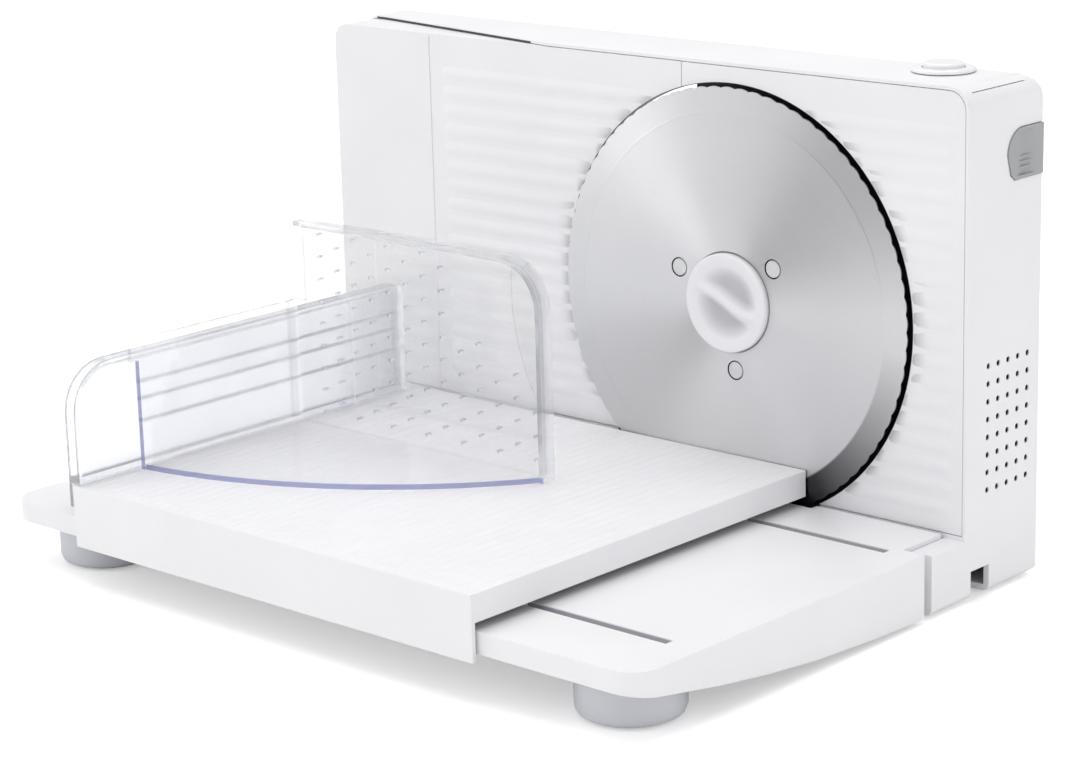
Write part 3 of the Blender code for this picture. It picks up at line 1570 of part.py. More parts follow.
def make_front_feet():
    """Two round feet under the base's front, open below for their rubber pads."""
    top = base_top - base_skin - clearance
    bottom = foot_pad_height / 2
    for side, centre in foot_centres().items():
        profile = [(0, top), (foot_radius - base_wall, top), (foot_radius, top - base_wall),
                   (foot_radius, bottom + foot_edge_radius),
                   (foot_radius - foot_edge_radius * foot_edge_share,
                    bottom + foot_edge_radius * foot_edge_share),
                   (foot_radius - foot_edge_radius, bottom),
                   (foot_pad_radius + clearance, bottom),
                   (foot_pad_radius + clearance, bottom + foot_pad_height),
                   (0, bottom + foot_pad_height)]
        turned(f"{side}_foot", "Z", centre, profile, white_abs)


def make_front_pads():
    top = foot_pad_height / 2 + foot_pad_height - clearance
    for side, centre in foot_centres().items():
        rod(f"{side}_foot_pad", "Z", centre, 0, top, foot_pad_radius, grey_rubber)


def make_rear_pads():
    inset = pad_radius + wall
    xs = (housing_left + inset + toe_width, housing_right - inset - toe_width)
    ys = (plate_y + inset, housing_rear - inset)
    corners = [(x, y) for x in xs for y in ys]
    for number, corner in enumerate(corners, 1):
        rod(f"rear_pad_{number}", "Z", corner, 0, housing_floor - clearance, pad_radius,
            grey_rubber)


# Carriage

def make_carriage():
    low, high = (carriage_left, carriage_front, carriage_bottom), (carriage_right, carriage_back,
                                                                   carriage_top)
    carriage = box("carriage_plate", low, high, white_abs)
    inner = carriage_side_wall
    room = box("carriage_room", (carriage_left + inner, carriage_front + skirt_thickness,
                                 carriage_bottom - overrun),
               (carriage_right - inner, carriage_back - inner, carriage_top - carriage_skin),
               white_abs)
    cut(carriage, room)
    settle(carriage)
    skirt = box("front_skirt", (carriage_left, carriage_front, carriage_top - skirt_drop),
                (carriage_right, carriage_front + skirt_thickness, carriage_top - carriage_skin / 2),
                white_abs)
    rails = [box("runner_rib", (carriage_left + runner_left_inset,
                                blade_y - reach - runner_rib_width / 2, carriage_bottom),
                 (carriage_right - runner_right_inset, blade_y - reach + runner_rib_width / 2,
                  carriage_top - carriage_skin / 2), white_abs)
             for reach in (groove_front_reach, groove_rear_reach)]
    join(carriage, skirt, *rails)
    settle(carriage)
    ribs = []
    count = int((carriage_right - carriage_left - 2 * carriage_rib_margin) / carriage_rib_pitch)
    for number in range(count):
        middle = (carriage_right - carriage_rib_margin - carriage_rib_pitch / 2
                  - number * carriage_rib_pitch)
        ribs.append(box("carriage_rib", (middle - carriage_rib_width / 2,
                                         carriage_front + carriage_rib_margin,
                                         carriage_top - carriage_rib_height),
                        (middle + carriage_rib_width / 2, carriage_back - carriage_rib_margin,
                         carriage_top + carriage_rib_height), white_abs))
    join(carriage, group("carriage_ribs", ribs, white_abs))
    settle(carriage)
    return set_origin(carriage, slide_point)


def make_runner(name, reach):
    """A slide strip under the carriage, with a tongue that runs in the base's groove."""
    middle = blade_y - reach
    half, tongue = runner_width / 2, groove_width / 2 - clearance
    top = carriage_bottom - clearance
    seat = base_top + clearance
    foot = base_top - groove_depth + clearance
    outline = [(middle - tongue, foot), (middle + tongue, foot), (middle + tongue, seat),
               (middle + half, seat), (middle + half, top), (middle - half, top),
               (middle - half, seat), (middle - tongue, seat)]
    runner = prism(name, "X", outline, carriage_left + runner_left_inset,
                   carriage_right - runner_right_inset, acetal)
    return set_origin(runner, slide_point)


def make_end_wall():
    """The clear wall on the carriage's left edge that carries the food pusher."""
    outer = blade_x - end_wall_outer_reach
    inner = outer + end_wall_width
    rear = blade_y - end_wall_rear_reach
    foot = carriage_top + carriage_rib_height + clearance
    top = blade_z - end_wall_top_drop
    radius = end_wall_corner_radius
    wall_piece = prism("end_wall", "X",
                       rounded(carriage_front, foot, rear, top,
                               (0, end_wall_rear_radius, radius, 0)),
                       outer, inner, clear_styrene)
    rim = end_wall_rim
    pocket = prism("end_pocket", "X",
                   rounded(carriage_front + rim, foot + rim, rear - rim, top - rim,
                           (0, end_wall_rear_radius - rim, radius - rim, 0)),
                   outer - overrun, inner - end_wall_web, clear_styrene)
    cut(wall_piece, pocket)
    settle(wall_piece)
    join(wall_piece, box("end_hem", (outer, carriage_front, carriage_top - end_wall_hem),
                         (carriage_left - clearance, rear, foot + rim / 2), clear_styrene))
    settle(wall_piece)
    return set_origin(smooth(wall_piece), slide_point)


def pip_places():
    """Columns of pips: full height at the left, then stepping down towards the blade."""
    left = blade_x - pusher_wall_left_reach + pip_left_margin
    low = pusher_floor + pusher_sheet + pip_floor_margin
    places = []
    for column in range(pip_columns):
        rows = pip_rows
        if column >= pip_full_columns:
            rows = pip_side_rows - (column - pip_full_columns) // 2
        shift = pip_row_pitch / 2 * (column % 2)
        for row in range(rows):
            height = low + row * pip_row_pitch + shift
            if height < blade_z + pusher_wall_top - pip_top_margin:
                places.append((left + column * pip_column_pitch, height))
    return places


pusher_floor = carriage_top + carriage_rib_height + clearance


def arc_centre(one, two, radius):
    """Centre of the arc from one point to the other, on the left of the line between them."""
    across, along = two[0] - one[0], two[1] - one[1]
    chord = math.hypot(across, along)
    rise = math.sqrt(radius ** 2 - (chord / 2) ** 2) / chord
    return (one[0] + two[0]) / 2 - along * rise, (one[1] + two[1]) / 2 + across * rise


def make_pusher():
    """The clear corner that drives the food: floor, side wall with hook, and pip wall."""
    left = blade_x - pusher_side_reach
    right = blade_x - pusher_right_reach
    back = blade_y - pusher_wall_reach + pusher_sheet / 2
    front = back - pusher_sheet
    side_top = blade_z - pusher_side_top_drop
    side_front = blade_y - pusher_side_front
    arc_x, arc_y = arc_centre((left, side_front), (right, blade_y - pusher_right_front),
                              pusher_arc_radius)
    first = math.degrees(math.asin((left - arc_x) / pusher_arc_radius)) - 90
    last = math.degrees(math.asin((right - arc_x) / pusher_arc_radius)) - 90
    plan = [*arc((arc_x, arc_y), pusher_arc_radius, first, last, pusher_arc_steps),
            (right, back), (left, back)]
    pusher = prism("food_pusher", "Z", plan, pusher_floor, pusher_floor + pusher_sheet,
                   clear_styrene)
    wall_left = blade_x - pusher_wall_left_reach
    wall_top = blade_z + pusher_wall_top
    radius = pusher_corner_radius
    corner = (right - radius, wall_top - radius)
    wall_outline = [(left, pusher_floor), (right, pusher_floor),
                    *arc(corner, radius, 0, 90, corner_steps), (wall_left, wall_top),
                    (wall_left, side_top), (left, side_top)]
    pip_wall = prism("pip_wall", "Y", wall_outline, front, back, clear_styrene)
    rim = prism("pip_rim", "Y", wall_outline, front - pusher_rim_depth, front + pusher_sheet / 2,
                clear_styrene)
    inner = [(left - overrun, pusher_floor - overrun), (right - pusher_sheet, pusher_floor - overrun),
             *arc(corner, radius - pusher_sheet, 0, 90, corner_steps),
             (left - overrun, wall_top - pusher_sheet)]
    cut(rim, prism("rim_room", "Y", inner, front - pusher_rim_depth - overrun, back + overrun,
                   clear_styrene))
    settle(rim)
    side = box("pusher_side", (left, side_front, pusher_floor),
               (left + pusher_sheet, back - pusher_sheet / 2, side_top), clear_styrene)
    hook_y = blade_y - hook_reach
    hook_top = blade_z - hook_top_drop
    leg = blade_x - end_wall_outer_reach - hook_gap
    outline = [(left + pusher_sheet, side_top - hook_drop), (left + pusher_sheet, hook_top),
               (leg - hook_sheet, hook_top), (leg - hook_sheet, hook_top - hook_drop),
               (leg, hook_top - hook_drop), (leg, hook_top - hook_sheet),
               (left, hook_top - hook_sheet), (left, side_top - hook_drop)]
    hook = prism("pusher_hook", "Y", outline, hook_y - hook_length / 2, hook_y + hook_length / 2,
                 clear_styrene)
    join(pusher, pip_wall, rim, side, hook)
    settle(pusher)
    pips = [rod("pip", "Y", place_of, back - pusher_sheet / 2, back + pip_length, pip_radius,
                clear_styrene, pip_sides, clearance / 2) for place_of in pip_places()]
    join(pusher, group("pips", pips, clear_styrene))
    settle(pusher)
    return set_origin(smooth(pusher), (left, back, pusher_floor))


def make_all():
    make_housing()
    make_rear_cover()
    make_cover_screws()
    make_fixed_plate()
    make_stop_plate()
    make_carrier()
    make_guide_rods()
    make_cam()
    make_knob()
    make_scale_ring()
    make_plate_spring()
    make_button()
    make_bezel()
    make_switch()
    make_button_spring()
    make_catch()
    make_blade()
    make_rivets()
    make_blade_gear()
    make_cap()
    make_stud()
    make_pinion()
    make_layshaft()
    make_worm_wheel()
    make_armature_shaft()
    make_rotor_core()
    make_fan()
    make_motor_case()
    make_field_magnets()
    make_end_cap()
    make_bushes()
    make_cradle()
    make_base()
    make_hinge_pins()
    make_front_feet()
    make_front_pads()
    make_rear_pads()
    make_carriage()
    make_runner("front_runner", groove_front_reach)
    make_runner("rear_runner", groove_rear_reach)
    make_end_wall()
    make_pusher()


make_all()
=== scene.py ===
# Electric food slicer: looks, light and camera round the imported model.
import json
import math

import bmesh
import bpy
from mathutils import Matrix, Vector


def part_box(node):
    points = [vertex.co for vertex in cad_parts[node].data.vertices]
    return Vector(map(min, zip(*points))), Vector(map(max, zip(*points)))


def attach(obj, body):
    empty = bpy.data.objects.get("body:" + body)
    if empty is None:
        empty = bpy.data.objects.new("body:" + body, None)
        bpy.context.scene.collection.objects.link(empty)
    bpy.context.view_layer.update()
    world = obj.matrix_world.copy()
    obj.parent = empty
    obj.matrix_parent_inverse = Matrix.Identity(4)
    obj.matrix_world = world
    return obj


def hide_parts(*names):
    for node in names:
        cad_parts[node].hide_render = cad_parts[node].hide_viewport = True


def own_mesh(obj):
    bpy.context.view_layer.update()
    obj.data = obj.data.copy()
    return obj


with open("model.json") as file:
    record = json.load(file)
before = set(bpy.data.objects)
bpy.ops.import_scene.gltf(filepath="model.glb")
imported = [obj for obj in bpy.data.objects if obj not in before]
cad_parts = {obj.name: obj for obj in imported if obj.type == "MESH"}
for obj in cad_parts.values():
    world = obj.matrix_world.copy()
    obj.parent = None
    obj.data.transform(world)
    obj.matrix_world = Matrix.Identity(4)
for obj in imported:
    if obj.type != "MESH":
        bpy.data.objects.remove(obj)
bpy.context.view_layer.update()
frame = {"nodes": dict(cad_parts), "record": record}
nodes = frame["nodes"]
mm = 0.001

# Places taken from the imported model
disc_low, disc_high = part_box("blade_disc")
blade = Vector(((disc_low.x + disc_high.x) / 2, disc_high.y, (disc_low.z + disc_high.z) / 2))
housing_low, housing_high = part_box("housing_shell")
fixed_low, fixed_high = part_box("fixed_plate")
stop_low, stop_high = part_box("stop_plate")
carriage_low, carriage_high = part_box("carriage_plate")
pusher_low, pusher_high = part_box("food_pusher")
wall_low, wall_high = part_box("end_wall")
lock_low, lock_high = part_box("blade_lock")
base_low, base_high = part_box("base_plate")


# Colour, nodes and meshes

def linear(hex_code):
    """An sRGB hex colour as linear red, green, blue and alpha."""
    parts = [int(hex_code[k:k + 2], 16) / 255 for k in (0, 2, 4)]
    return (*[c / 12.92 if c <= 0.04045 else ((c + 0.055) / 1.055) ** 2.4 for c in parts], 1.0)


def add(tree, kind, inputs=None, **settings):
    """A node with its settings, and its inputs as values or as other nodes' outputs."""
    made = tree.nodes.new(kind)
    for name, value in settings.items():
        setattr(made, name, value)
    for name, value in (inputs or {}).items():
        if isinstance(value, bpy.types.NodeSocket):
            tree.links.new(value, made.inputs[name])
        else:
            made.inputs[name].default_value = value
    return made


def surface(name, roughness, metallic=0.0, **constants):
    """A new material with its shader, the object's coordinates in millimetres, and its tree."""
    made = bpy.data.materials.new(name)
    made.use_nodes = True
    tree = made.node_tree
    shader = tree.nodes["Principled BSDF"]
    shader.inputs["Roughness"].default_value = roughness
    shader.inputs["Metallic"].default_value = metallic
    for socket, value in constants.items():
        shader.inputs[socket.replace("_", " ")].default_value = value
    where = add(tree, "ShaderNodeTexCoord")
    scaled = add(tree, "ShaderNodeVectorMath", {0: where.outputs["Object"],
                                                1: (1 / mm, 1 / mm, 1 / mm)}, operation="MULTIPLY")
    return made, tree, shader, scaled.outputs["Vector"]


def noise(tree, place, size_mm, detail=3.0, rough=0.5):
    """Noise whose grains are about size_mm across."""
    return add(tree, "ShaderNodeTexNoise", {"Vector": place, "Scale": 1 / size_mm,
                                            "Detail": detail, "Roughness": rough}).outputs["Fac"]


def spread(tree, value, low, high, start=0.3, end=0.7):
    """A pattern's middle range stretched to run from low to high."""
    return add(tree, "ShaderNodeMapRange", {"Value": value, "From Min": start, "From Max": end,
                                            "To Min": low, "To Max": high}).outputs["Result"]


def tint(tree, value, first, second):
    ramp = add(tree, "ShaderNodeValToRGB", {"Fac": value})
    ramp.color_ramp.elements[0].color = linear(first)
    ramp.color_ramp.elements[0].position = 0.3
    ramp.color_ramp.elements[1].color = linear(second)
    ramp.color_ramp.elements[1].position = 0.7
    return ramp.outputs["Color"]


def bump(tree, height, depth_mm, strength=1.0):
    return add(tree, "ShaderNodeBump", {"Height": height, "Distance": depth_mm * mm,
                                        "Strength": strength}).outputs["Normal"]


def moulded(name, first, second, roughness, grain_mm, depth_mm, cloud_mm=40.0, **constants):
    """Injection moulded plastic: the mould's fine grain, and a slow drift of tone and gloss."""
    made, tree, shader, place = surface(name, roughness, **constants)
    cloud = noise(tree, place, cloud_mm, 2.0)
    grain = noise(tree, place, grain_mm, 4.0, 0.6)
    tree.links.new(tint(tree, cloud, first, second), shader.inputs["Base Color"])
    both = add(tree, "ShaderNodeMath", {0: cloud, 1: grain}, operation="ADD")
    tree.links.new(spread(tree, both.outputs[0], roughness - 0.05, roughness + 0.06, 0.6, 1.4),
                   shader.inputs["Roughness"])
    tree.links.new(bump(tree, grain, depth_mm), shader.inputs["Normal"])
    return made


def mesh_object(name, body, finish, smooth_angle=math.radians(40)):
    """A finished mesh as an object of the scene, smooth up to an angle."""
    bmesh.ops.recalc_face_normals(body, faces=body.faces)
    mesh = bpy.data.meshes.new(name)
    body.to_mesh(mesh)
    body.free()
    mesh.materials.append(finish)
    mesh.shade_smooth()
    mesh.set_sharp_from_angle(angle=smooth_angle)
    made = bpy.data.objects.new(name, mesh)
    bpy.context.scene.collection.objects.link(made)
    return made


def baked(shape):
    """Applies a shape's modifiers to its mesh."""
    graph = bpy.context.evaluated_depsgraph_get()
    shape.data = bpy.data.meshes.new_from_object(shape.evaluated_get(graph))
    shape.modifiers.clear()
    return shape


def boolean(shape, other, operation):
    """Joins, cuts or trims a shape by another, and removes the other."""
    step = shape.modifiers.new("boolean", "BOOLEAN")
    step.operation, step.object, step.solver = operation, other, "EXACT"
    baked(shape)
    bpy.data.objects.remove(other, do_unlink=True)
    return shape


def soften(shape, width, segments=3, angle=math.radians(35)):
    """Rounded edges with flat faces kept flat."""
    edge = shape.modifiers.new("edges", "BEVEL")
    edge.width, edge.segments, edge.limit_method, edge.angle_limit = width, segments, "ANGLE", angle
    edge.harden_normals = False
    normals = shape.modifiers.new("normals", "WEIGHTED_NORMAL")
    normals.keep_sharp = True
    return shape


def extruded(name, outline, axis, start, end, finish):
    """An outline pushed along an axis: (y, z) along X, (x, z) along Y, (x, y) along Z."""
    def corner(u, v, w):
        return {"X": (w, u, v), "Y": (u, w, v), "Z": (u, v, w)}[axis]

    body = bmesh.new()
    one = [body.verts.new(corner(u, v, start)) for u, v in outline]
    two = [body.verts.new(corner(u, v, end)) for u, v in outline]
    body.faces.new(one)
    body.faces.new(two)
    for k in range(len(one)):
        after = (k + 1) % len(one)
        body.faces.new((one[k], one[after], two[after], two[k]))
    return mesh_object(name, body, finish)


def round_bar(name, axis, centre, start, end, radius, finish, sides=128):
    outline = [(centre[0] + radius * math.cos(math.tau * k / sides),
                centre[1] + radius * math.sin(math.tau * k / sides)) for k in range(sides)]
    return extruded(name, outline, axis, start, end, finish)


def arc(centre, radius, start, end, steps=16):
    angles = [math.radians(start + (end - start) * k / steps) for k in range(steps + 1)]
    return [(centre[0] + radius * math.cos(a), centre[1] + radius * math.sin(a)) for a in angles]


def rounded(left, bottom, right, top, radii, steps=12):
    """A rectangle with a radius at bottom right, top right, top left and bottom left."""
    corners = [(right, bottom, -1, 1, -90), (right, top, -1, -1, 0),
               (left, top, 1, -1, 90), (left, bottom, 1, 1, 180)]
    points = []
    for (x, y, inward_x, inward_y, start), radius in zip(corners, radii):
        if radius > 0:
            points += arc((x + inward_x * radius, y + inward_y * radius), radius,
                          start, start + 90, steps)
        else:
            points.append((x, y))
    return points


def step_up(value, start, end):
    """A smooth rise from 0 at start to 1 at end."""
    share = min(max((value - start) / (end - start), 0.0), 1.0)
    return share * share * (3 - 2 * share)


# Materials

# White ABS off a lightly etched mould: the eye reads a clean cool white with a soft broad gloss
white = moulded("white_abs_injection_moulded", "F0F0F3", "F3F3F5", 0.36, 0.7, 0.008)
# White ABS off a polished mould: the button's top shines more than the housing round it
gloss_white = moulded("white_abs_polished_mould", "F1F1F3", "F4F4F5", 0.2, 1.1, 0.004)
# Grey ABS with a fine spark-eroded grain: a calm mid grey that hardly reflects
grey = moulded("grey_abs_eroded_mould", "A6A7AA", "AEAFB2", 0.45, 0.5, 0.02)
# Black glass filled nylon: dull, with a faint brownish drift
nylon = moulded("black_nylon_moulded", "191A1B", "222222", 0.48, 0.4, 0.02)
# Natural acetal: milky, a little waxy, with a soft sheen
acetal = moulded("natural_acetal_moulded", "DEDCD2", "E6E4DA", 0.32, 0.6, 0.006,
                 Subsurface_Weight=0.15, Subsurface_Scale=0.002)
# Grey rubber of the pads: matt, with moulding specks
rubber = moulded("grey_rubber_moulded", "595A5D", "636468", 0.78, 0.35, 0.03)


def toned(made, name, mask_of, hex_code):
    """A copy of a finish that takes another tone where a mask of its own coordinates says so."""
    copy = made.copy()
    copy.name = name
    tree = copy.node_tree
    shader = tree.nodes["Principled BSDF"]
    place = [n for n in tree.nodes if n.type == "VECT_MATH"][0].outputs["Vector"]
    colour = shader.inputs["Base Color"].links[0].from_socket
    mixed = add(tree, "ShaderNodeMix", {0: mask_of(tree, place), 6: colour,
                                        7: linear(hex_code)}, data_type="RGBA")
    tree.links.new(mixed.outputs[2], shader.inputs["Base Color"])
    return copy


def math_node(tree, operation, one, two=0.0):
    return add(tree, "ShaderNodeMath", {0: one, 1: two}, operation=operation).outputs[0]


def inside(tree, place, low, high):
    """1 inside a box given in metres, 0 outside."""
    centre = tuple((a + b) / 2 / mm for a, b in zip(low, high))
    half = tuple((b - a) / 2 / mm for a, b in zip(low, high))
    away = add(tree, "ShaderNodeVectorMath", {0: place, 1: centre}, operation="SUBTRACT")
    away = add(tree, "ShaderNodeVectorMath", {0: away.outputs["Vector"]}, operation="ABSOLUTE")
    over = add(tree, "ShaderNodeVectorMath", {0: away.outputs["Vector"], 1: half},
               operation="SUBTRACT")
    parts = add(tree, "ShaderNodeSeparateXYZ", {"Vector": over.outputs["Vector"]})
    worst = math_node(tree, "MAXIMUM", parts.outputs["X"], parts.outputs["Y"])
    worst = math_node(tree, "MAXIMUM", worst, parts.outputs["Z"])
    return math_node(tree, "LESS_THAN", worst, 0.0)


def from_axis(tree, place, x, z):
    """Distance in millimetres from a line along Y."""
    away = add(tree, "ShaderNodeVectorMath", {0: place, 1: (x / mm, 0.0, z / mm)},
               operation="SUBTRACT")
    flat = add(tree, "ShaderNodeVectorMath", {0: away.outputs["Vector"], 1: (1.0, 0.0, 1.0)},
               operation="MULTIPLY")
    return add(tree, "ShaderNodeVectorMath", {0: flat.outputs["Vector"]},
               operation="LENGTH").outputs["Value"]


tooth_gap = 0.0010
well_radius = disc_high.z - blade.z + tooth_gap


def near_blade(tree, place, margin):
    """1 within the plates' round cut and a margin in metres round it."""
    return math_node(tree, "LESS_THAN", from_axis(tree, place, blade.x, blade.z),
                     (well_radius + margin) / mm)


def in_well(tree, place):
    """Where shade is painted: the wall of the plates' round cut beside the blade's edge."""
    return near_blade(tree, place, 0.00025)


def in_shell(tree, place):
    """Where shade is painted: the blade's well, the insides of the vent holes and the slot behind
    the stop plate.
    """
    face, skin = fixed_low.y - 0.001, 0.0005
    vent_depth, vents_front, vents_rear = 0.010, fixed_low.y + 0.015, housing_high.y - 0.006
    vents_foot, vents_top = 0.015, 0.105
    slot_left, slot_right = housing_low.x + 0.008, stop_high.x - 0.081
    slot_foot, well_back = stop_high.z - 0.0003, fixed_low.y + 0.014
    vents = inside(tree, place, (housing_high.x - vent_depth, vents_front, vents_foot),
                   (housing_high.x - skin, vents_rear, vents_top))
    slot = inside(tree, place, (slot_left, face, slot_foot),
                  (slot_right, stop_high.y, housing_high.z - skin))
    well = near_blade(tree, place, 0.0010)
    front = inside(tree, place, (housing_low.x, face, housing_low.z),
                   (housing_high.x, well_back, housing_high.z))
    dark = math_node(tree, "MAXIMUM", math_node(tree, "MULTIPLY", well, front), vents)
    return math_node(tree, "MAXIMUM", dark, slot)


def in_grooves(tree, place):
    """Where shade is painted: the floors and walls of the two grooves that the carriage's strips
    run in.
    """
    reach, end_inset, floor_room, skin = 0.0032, 0.004, 0.002, 0.0004
    strips = []
    for name in ("front_runner", "rear_runner"):
        low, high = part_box(name)
        middle = (low.y + high.y) / 2
        strips.append(inside(tree, place,
                             (base_low.x + end_inset, middle - reach, low.z - floor_room),
                             (base_high.x - end_inset, middle + reach, base_high.z - skin)))
    return math_node(tree, "MAXIMUM", *strips)


def under_carriage(tree, place):
    """The carriage's underside, which only the gap over the base shows, where shade is painted."""
    left_wall, front_wall, wall, deck = 0.0015, 0.003, 0.0012, 0.003
    return inside(tree, place, (carriage_low.x + left_wall, carriage_low.y + front_wall, 0.0),
                  (carriage_high.x - wall, carriage_high.y - wall, carriage_high.z - deck))


def in_dish(tree, place):
    """How much shade is painted on a place in the lock's dish: 0 at its face and more towards its
    bottom.
    """
    depth = add(tree, "ShaderNodeSeparateXYZ", {"Vector": place}).outputs["Y"]
    face, shallow_mm, bottom_mm, most = lock_low.y / mm, 0.9, 3.4, 0.55
    return spread(tree, depth, 0.0, most, face + shallow_mm, face + bottom_mm)


# The same white with painted shade: dark grey in its hidden wells, holes and slot and under the
# carriage, pale grey in the grooves
white_painted_well_shade = toned(white, "white_abs_moulded_painted_well_shade", in_well, "3A3A3F")
white_painted_opening_shade = toned(white, "white_abs_moulded_painted_opening_shade", in_shell, "2E2E33")
white_painted_groove_shade = toned(white, "white_abs_moulded_painted_groove_shade", in_grooves, "BCBCC2")
white_painted_underside_shade = toned(white, "white_abs_moulded_painted_underside_shade", under_carriage, "3E3E43")
# The lock's white with painted shade, greyer towards the bottom of its dish
white_painted_dish_shade = toned(white, "white_abs_moulded_painted_dish_shade", in_dish, "97979F")


def drawn(name, first, second, roughness, stretch_mm, depth_mm):
    """Drawn, turned or pressed metal: fine lines along one way, and a slow drift of tone."""
    made, tree, shader, place = surface(name, roughness, 1.0)
    lines = add(tree, "ShaderNodeVectorMath", {0: place, 1: tuple(1 / s for s in stretch_mm)},
                operation="MULTIPLY")
    grain = add(tree, "ShaderNodeTexNoise", {"Vector": lines.outputs["Vector"], "Scale": 1.0,
                                             "Detail": 4.0, "Roughness": 0.6}).outputs["Fac"]
    cloud = noise(tree, place, 12.0, 2.0)
    tree.links.new(tint(tree, cloud, first, second), shader.inputs["Base Color"])
    tree.links.new(spread(tree, grain, roughness - 0.07, roughness + 0.1),
                   shader.inputs["Roughness"])
    tree.links.new(bump(tree, grain, depth_mm), shader.inputs["Normal"])
    return made


# Zinc plated steel, bright and a little blue, with the drawing's lines along the part
zinc = drawn("zinc_plated_steel_drawn", "B9BDC2", "C8CBCE", 0.3, (6.0, 0.25, 0.25), 0.006)
# Spring steel wire, darker from its heat treatment
spring = drawn("spring_steel_oil_tempered", "6B6D70", "7C7E80", 0.34, (0.3, 3.0, 3.0), 0.005)
# Electrical steel of the core, dull grey sheets with fine edges between them
core = drawn("electrical_steel_stamped", "77787A", "8A8B8C", 0.45, (0.5, 20.0, 20.0), 0.02)
# Turned brass of the pinion, warm yellow with a lathe's rings
brass = drawn("brass_turned", "B8995A", "C8A968", 0.28, (8.0, 0.15, 8.0), 0.005)
# Sintered bronze of the bushes, brown and slightly porous
bronze = drawn("bronze_sintered", "8A6B4A", "9C7A55", 0.42, (0.3, 0.3, 0.3), 0.02)


def ground_stainless():
    """Stainless steel ground on a turntable: its rings spread the light away from the axis.

    A painted reflection darkens the bevel's lower right, for the dark studio it would mirror,
    between two angles round the axis that each have a soft end, and painted shade draws a fine
    dark line round each rivet, in the gap round its head.
    """
    right_end, left_end = (-0.1, -1.0), (-1.5, -1.9)
    bevel_mm, most, line_mm, rings_per_mm = (74.4, 75.4), 0.92, 0.05, 3.5
    made, tree, shader, place = surface("stainless_steel_ring_ground", 0.4, 1.0,
                                        Anisotropic=0.9)
    axis = add(tree, "ShaderNodeVectorMath", {0: place, 1: tuple(blade / mm)},
               operation="SUBTRACT")
    flat = add(tree, "ShaderNodeVectorMath", {0: axis.outputs["Vector"], 1: (1.0, 0.0, 1.0)},
               operation="MULTIPLY")
    reach = add(tree, "ShaderNodeVectorMath", {0: flat.outputs["Vector"]},
                operation="LENGTH").outputs["Value"]
    along = add(tree, "ShaderNodeVectorMath", {0: flat.outputs["Vector"]},
                operation="NORMALIZE")
    tree.links.new(along.outputs["Vector"], shader.inputs["Tangent"])
    rings = add(tree, "ShaderNodeTexNoise", {"W": reach, "Scale": rings_per_mm, "Detail": 5.0,
                                             "Roughness": 0.65}, noise_dimensions="1D")
    rings = rings.outputs["Fac"]
    cloud = noise(tree, place, 30.0, 2.0)
    steel = tint(tree, rings, "DCDCDE", "E2E2E3")
    parts = add(tree, "ShaderNodeSeparateXYZ", {"Vector": flat.outputs["Vector"]})
    turn = add(tree, "ShaderNodeMath", {0: parts.outputs["Z"], 1: parts.outputs["X"]},
               operation="ARCTAN2").outputs[0]
    shade = math_node(tree, "MULTIPLY", spread(tree, turn, 0.0, 1.0, *right_end),
                      spread(tree, turn, 1.0, 0.0, *left_end))
    shade = math_node(tree, "MULTIPLY", shade, spread(tree, reach, 0.0, most, *bevel_mm))
    # Painted reflection: the bevel's lower right turns dark grey
    dark = add(tree, "ShaderNodeMix", {0: shade, 6: steel, 7: linear("2A2A30")},
               data_type="RGBA")
    # Painted shade in the gap round each rivet's head
    holes = [math_node(tree, "LESS_THAN", from_axis(tree, place, x, z),
                       rivet_hole / mm + line_mm) for x, z in rivets]
    holes = math_node(tree, "MAXIMUM", math_node(tree, "MAXIMUM", holes[0], holes[1]), holes[2])
    rivet_gap_shaded = add(tree, "ShaderNodeMix", {0: holes, 6: dark.outputs[2], 7: linear("3C3C40")},
                   data_type="RGBA")
    tree.links.new(rivet_gap_shaded.outputs[2], shader.inputs["Base Color"])
    both = add(tree, "ShaderNodeMath", {0: rings, 1: cloud}, operation="ADD").outputs[0]
    tree.links.new(spread(tree, both, 0.37, 0.43, 0.6, 1.4), shader.inputs["Roughness"])
    tree.links.new(bump(tree, rings, 0.0006), shader.inputs["Normal"])
    return made


rivet_boxes = [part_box(f"blade_rivet_{number}") for number in (1, 2, 3)]
rivets = [((low.x + high.x) / 2, (low.z + high.z) / 2) for low, high in rivet_boxes]
rivet_hole = (rivet_boxes[0][1].x - rivet_boxes[0][0].x) / 2 + 0.0004

# The blade: fine rings to look into, light and dark fans that turn round the middle, a painted
# reflection darkening the bevel's lower right and painted shade round the rivets
stainless = ground_stainless()


def clear_plastic(name, roughness, alpha, painted_edges_of=None, tones=("F9FAFC", "FCFCFE")):
    """Clear styrene, bright and glassy; where a mask is given, painted shade turns the edges it
    marks, where a sheet is looked into along its length, blue violet and the pips grey, and makes
    both nearly opaque.
    """
    made, tree, shader, place = surface(name, roughness, IOR=1.49, Transmission_Weight=1.0,
                                        Alpha=alpha)
    waves = noise(tree, place, 14.0, 2.0)
    haze = noise(tree, place, 1.2, 3.0)
    colour = tint(tree, waves, *tones)
    if painted_edges_of:
        edge, pips = painted_edges_of(tree, place)
        # Painted shade: grey on the pips, blue violet on the edges
        for mask, hex_code in ((pips, "A4A7B8"), (edge, "7377B4")):
            colour = add(tree, "ShaderNodeMix", {0: mask, 6: colour, 7: linear(hex_code)},
                         data_type="RGBA").outputs[2]
        thick = math_node(tree, "MAXIMUM", edge, pips)
        solid = add(tree, "ShaderNodeMix", {0: thick, 2: alpha, 3: 0.95}, data_type="FLOAT")
        tree.links.new(solid.outputs[0], shader.inputs["Alpha"])
    tree.links.new(colour, shader.inputs["Base Color"])
    tree.links.new(spread(tree, haze, roughness, roughness + 0.04), shader.inputs["Roughness"])
    tree.links.new(bump(tree, waves, 0.05), shader.inputs["Normal"])
    return made


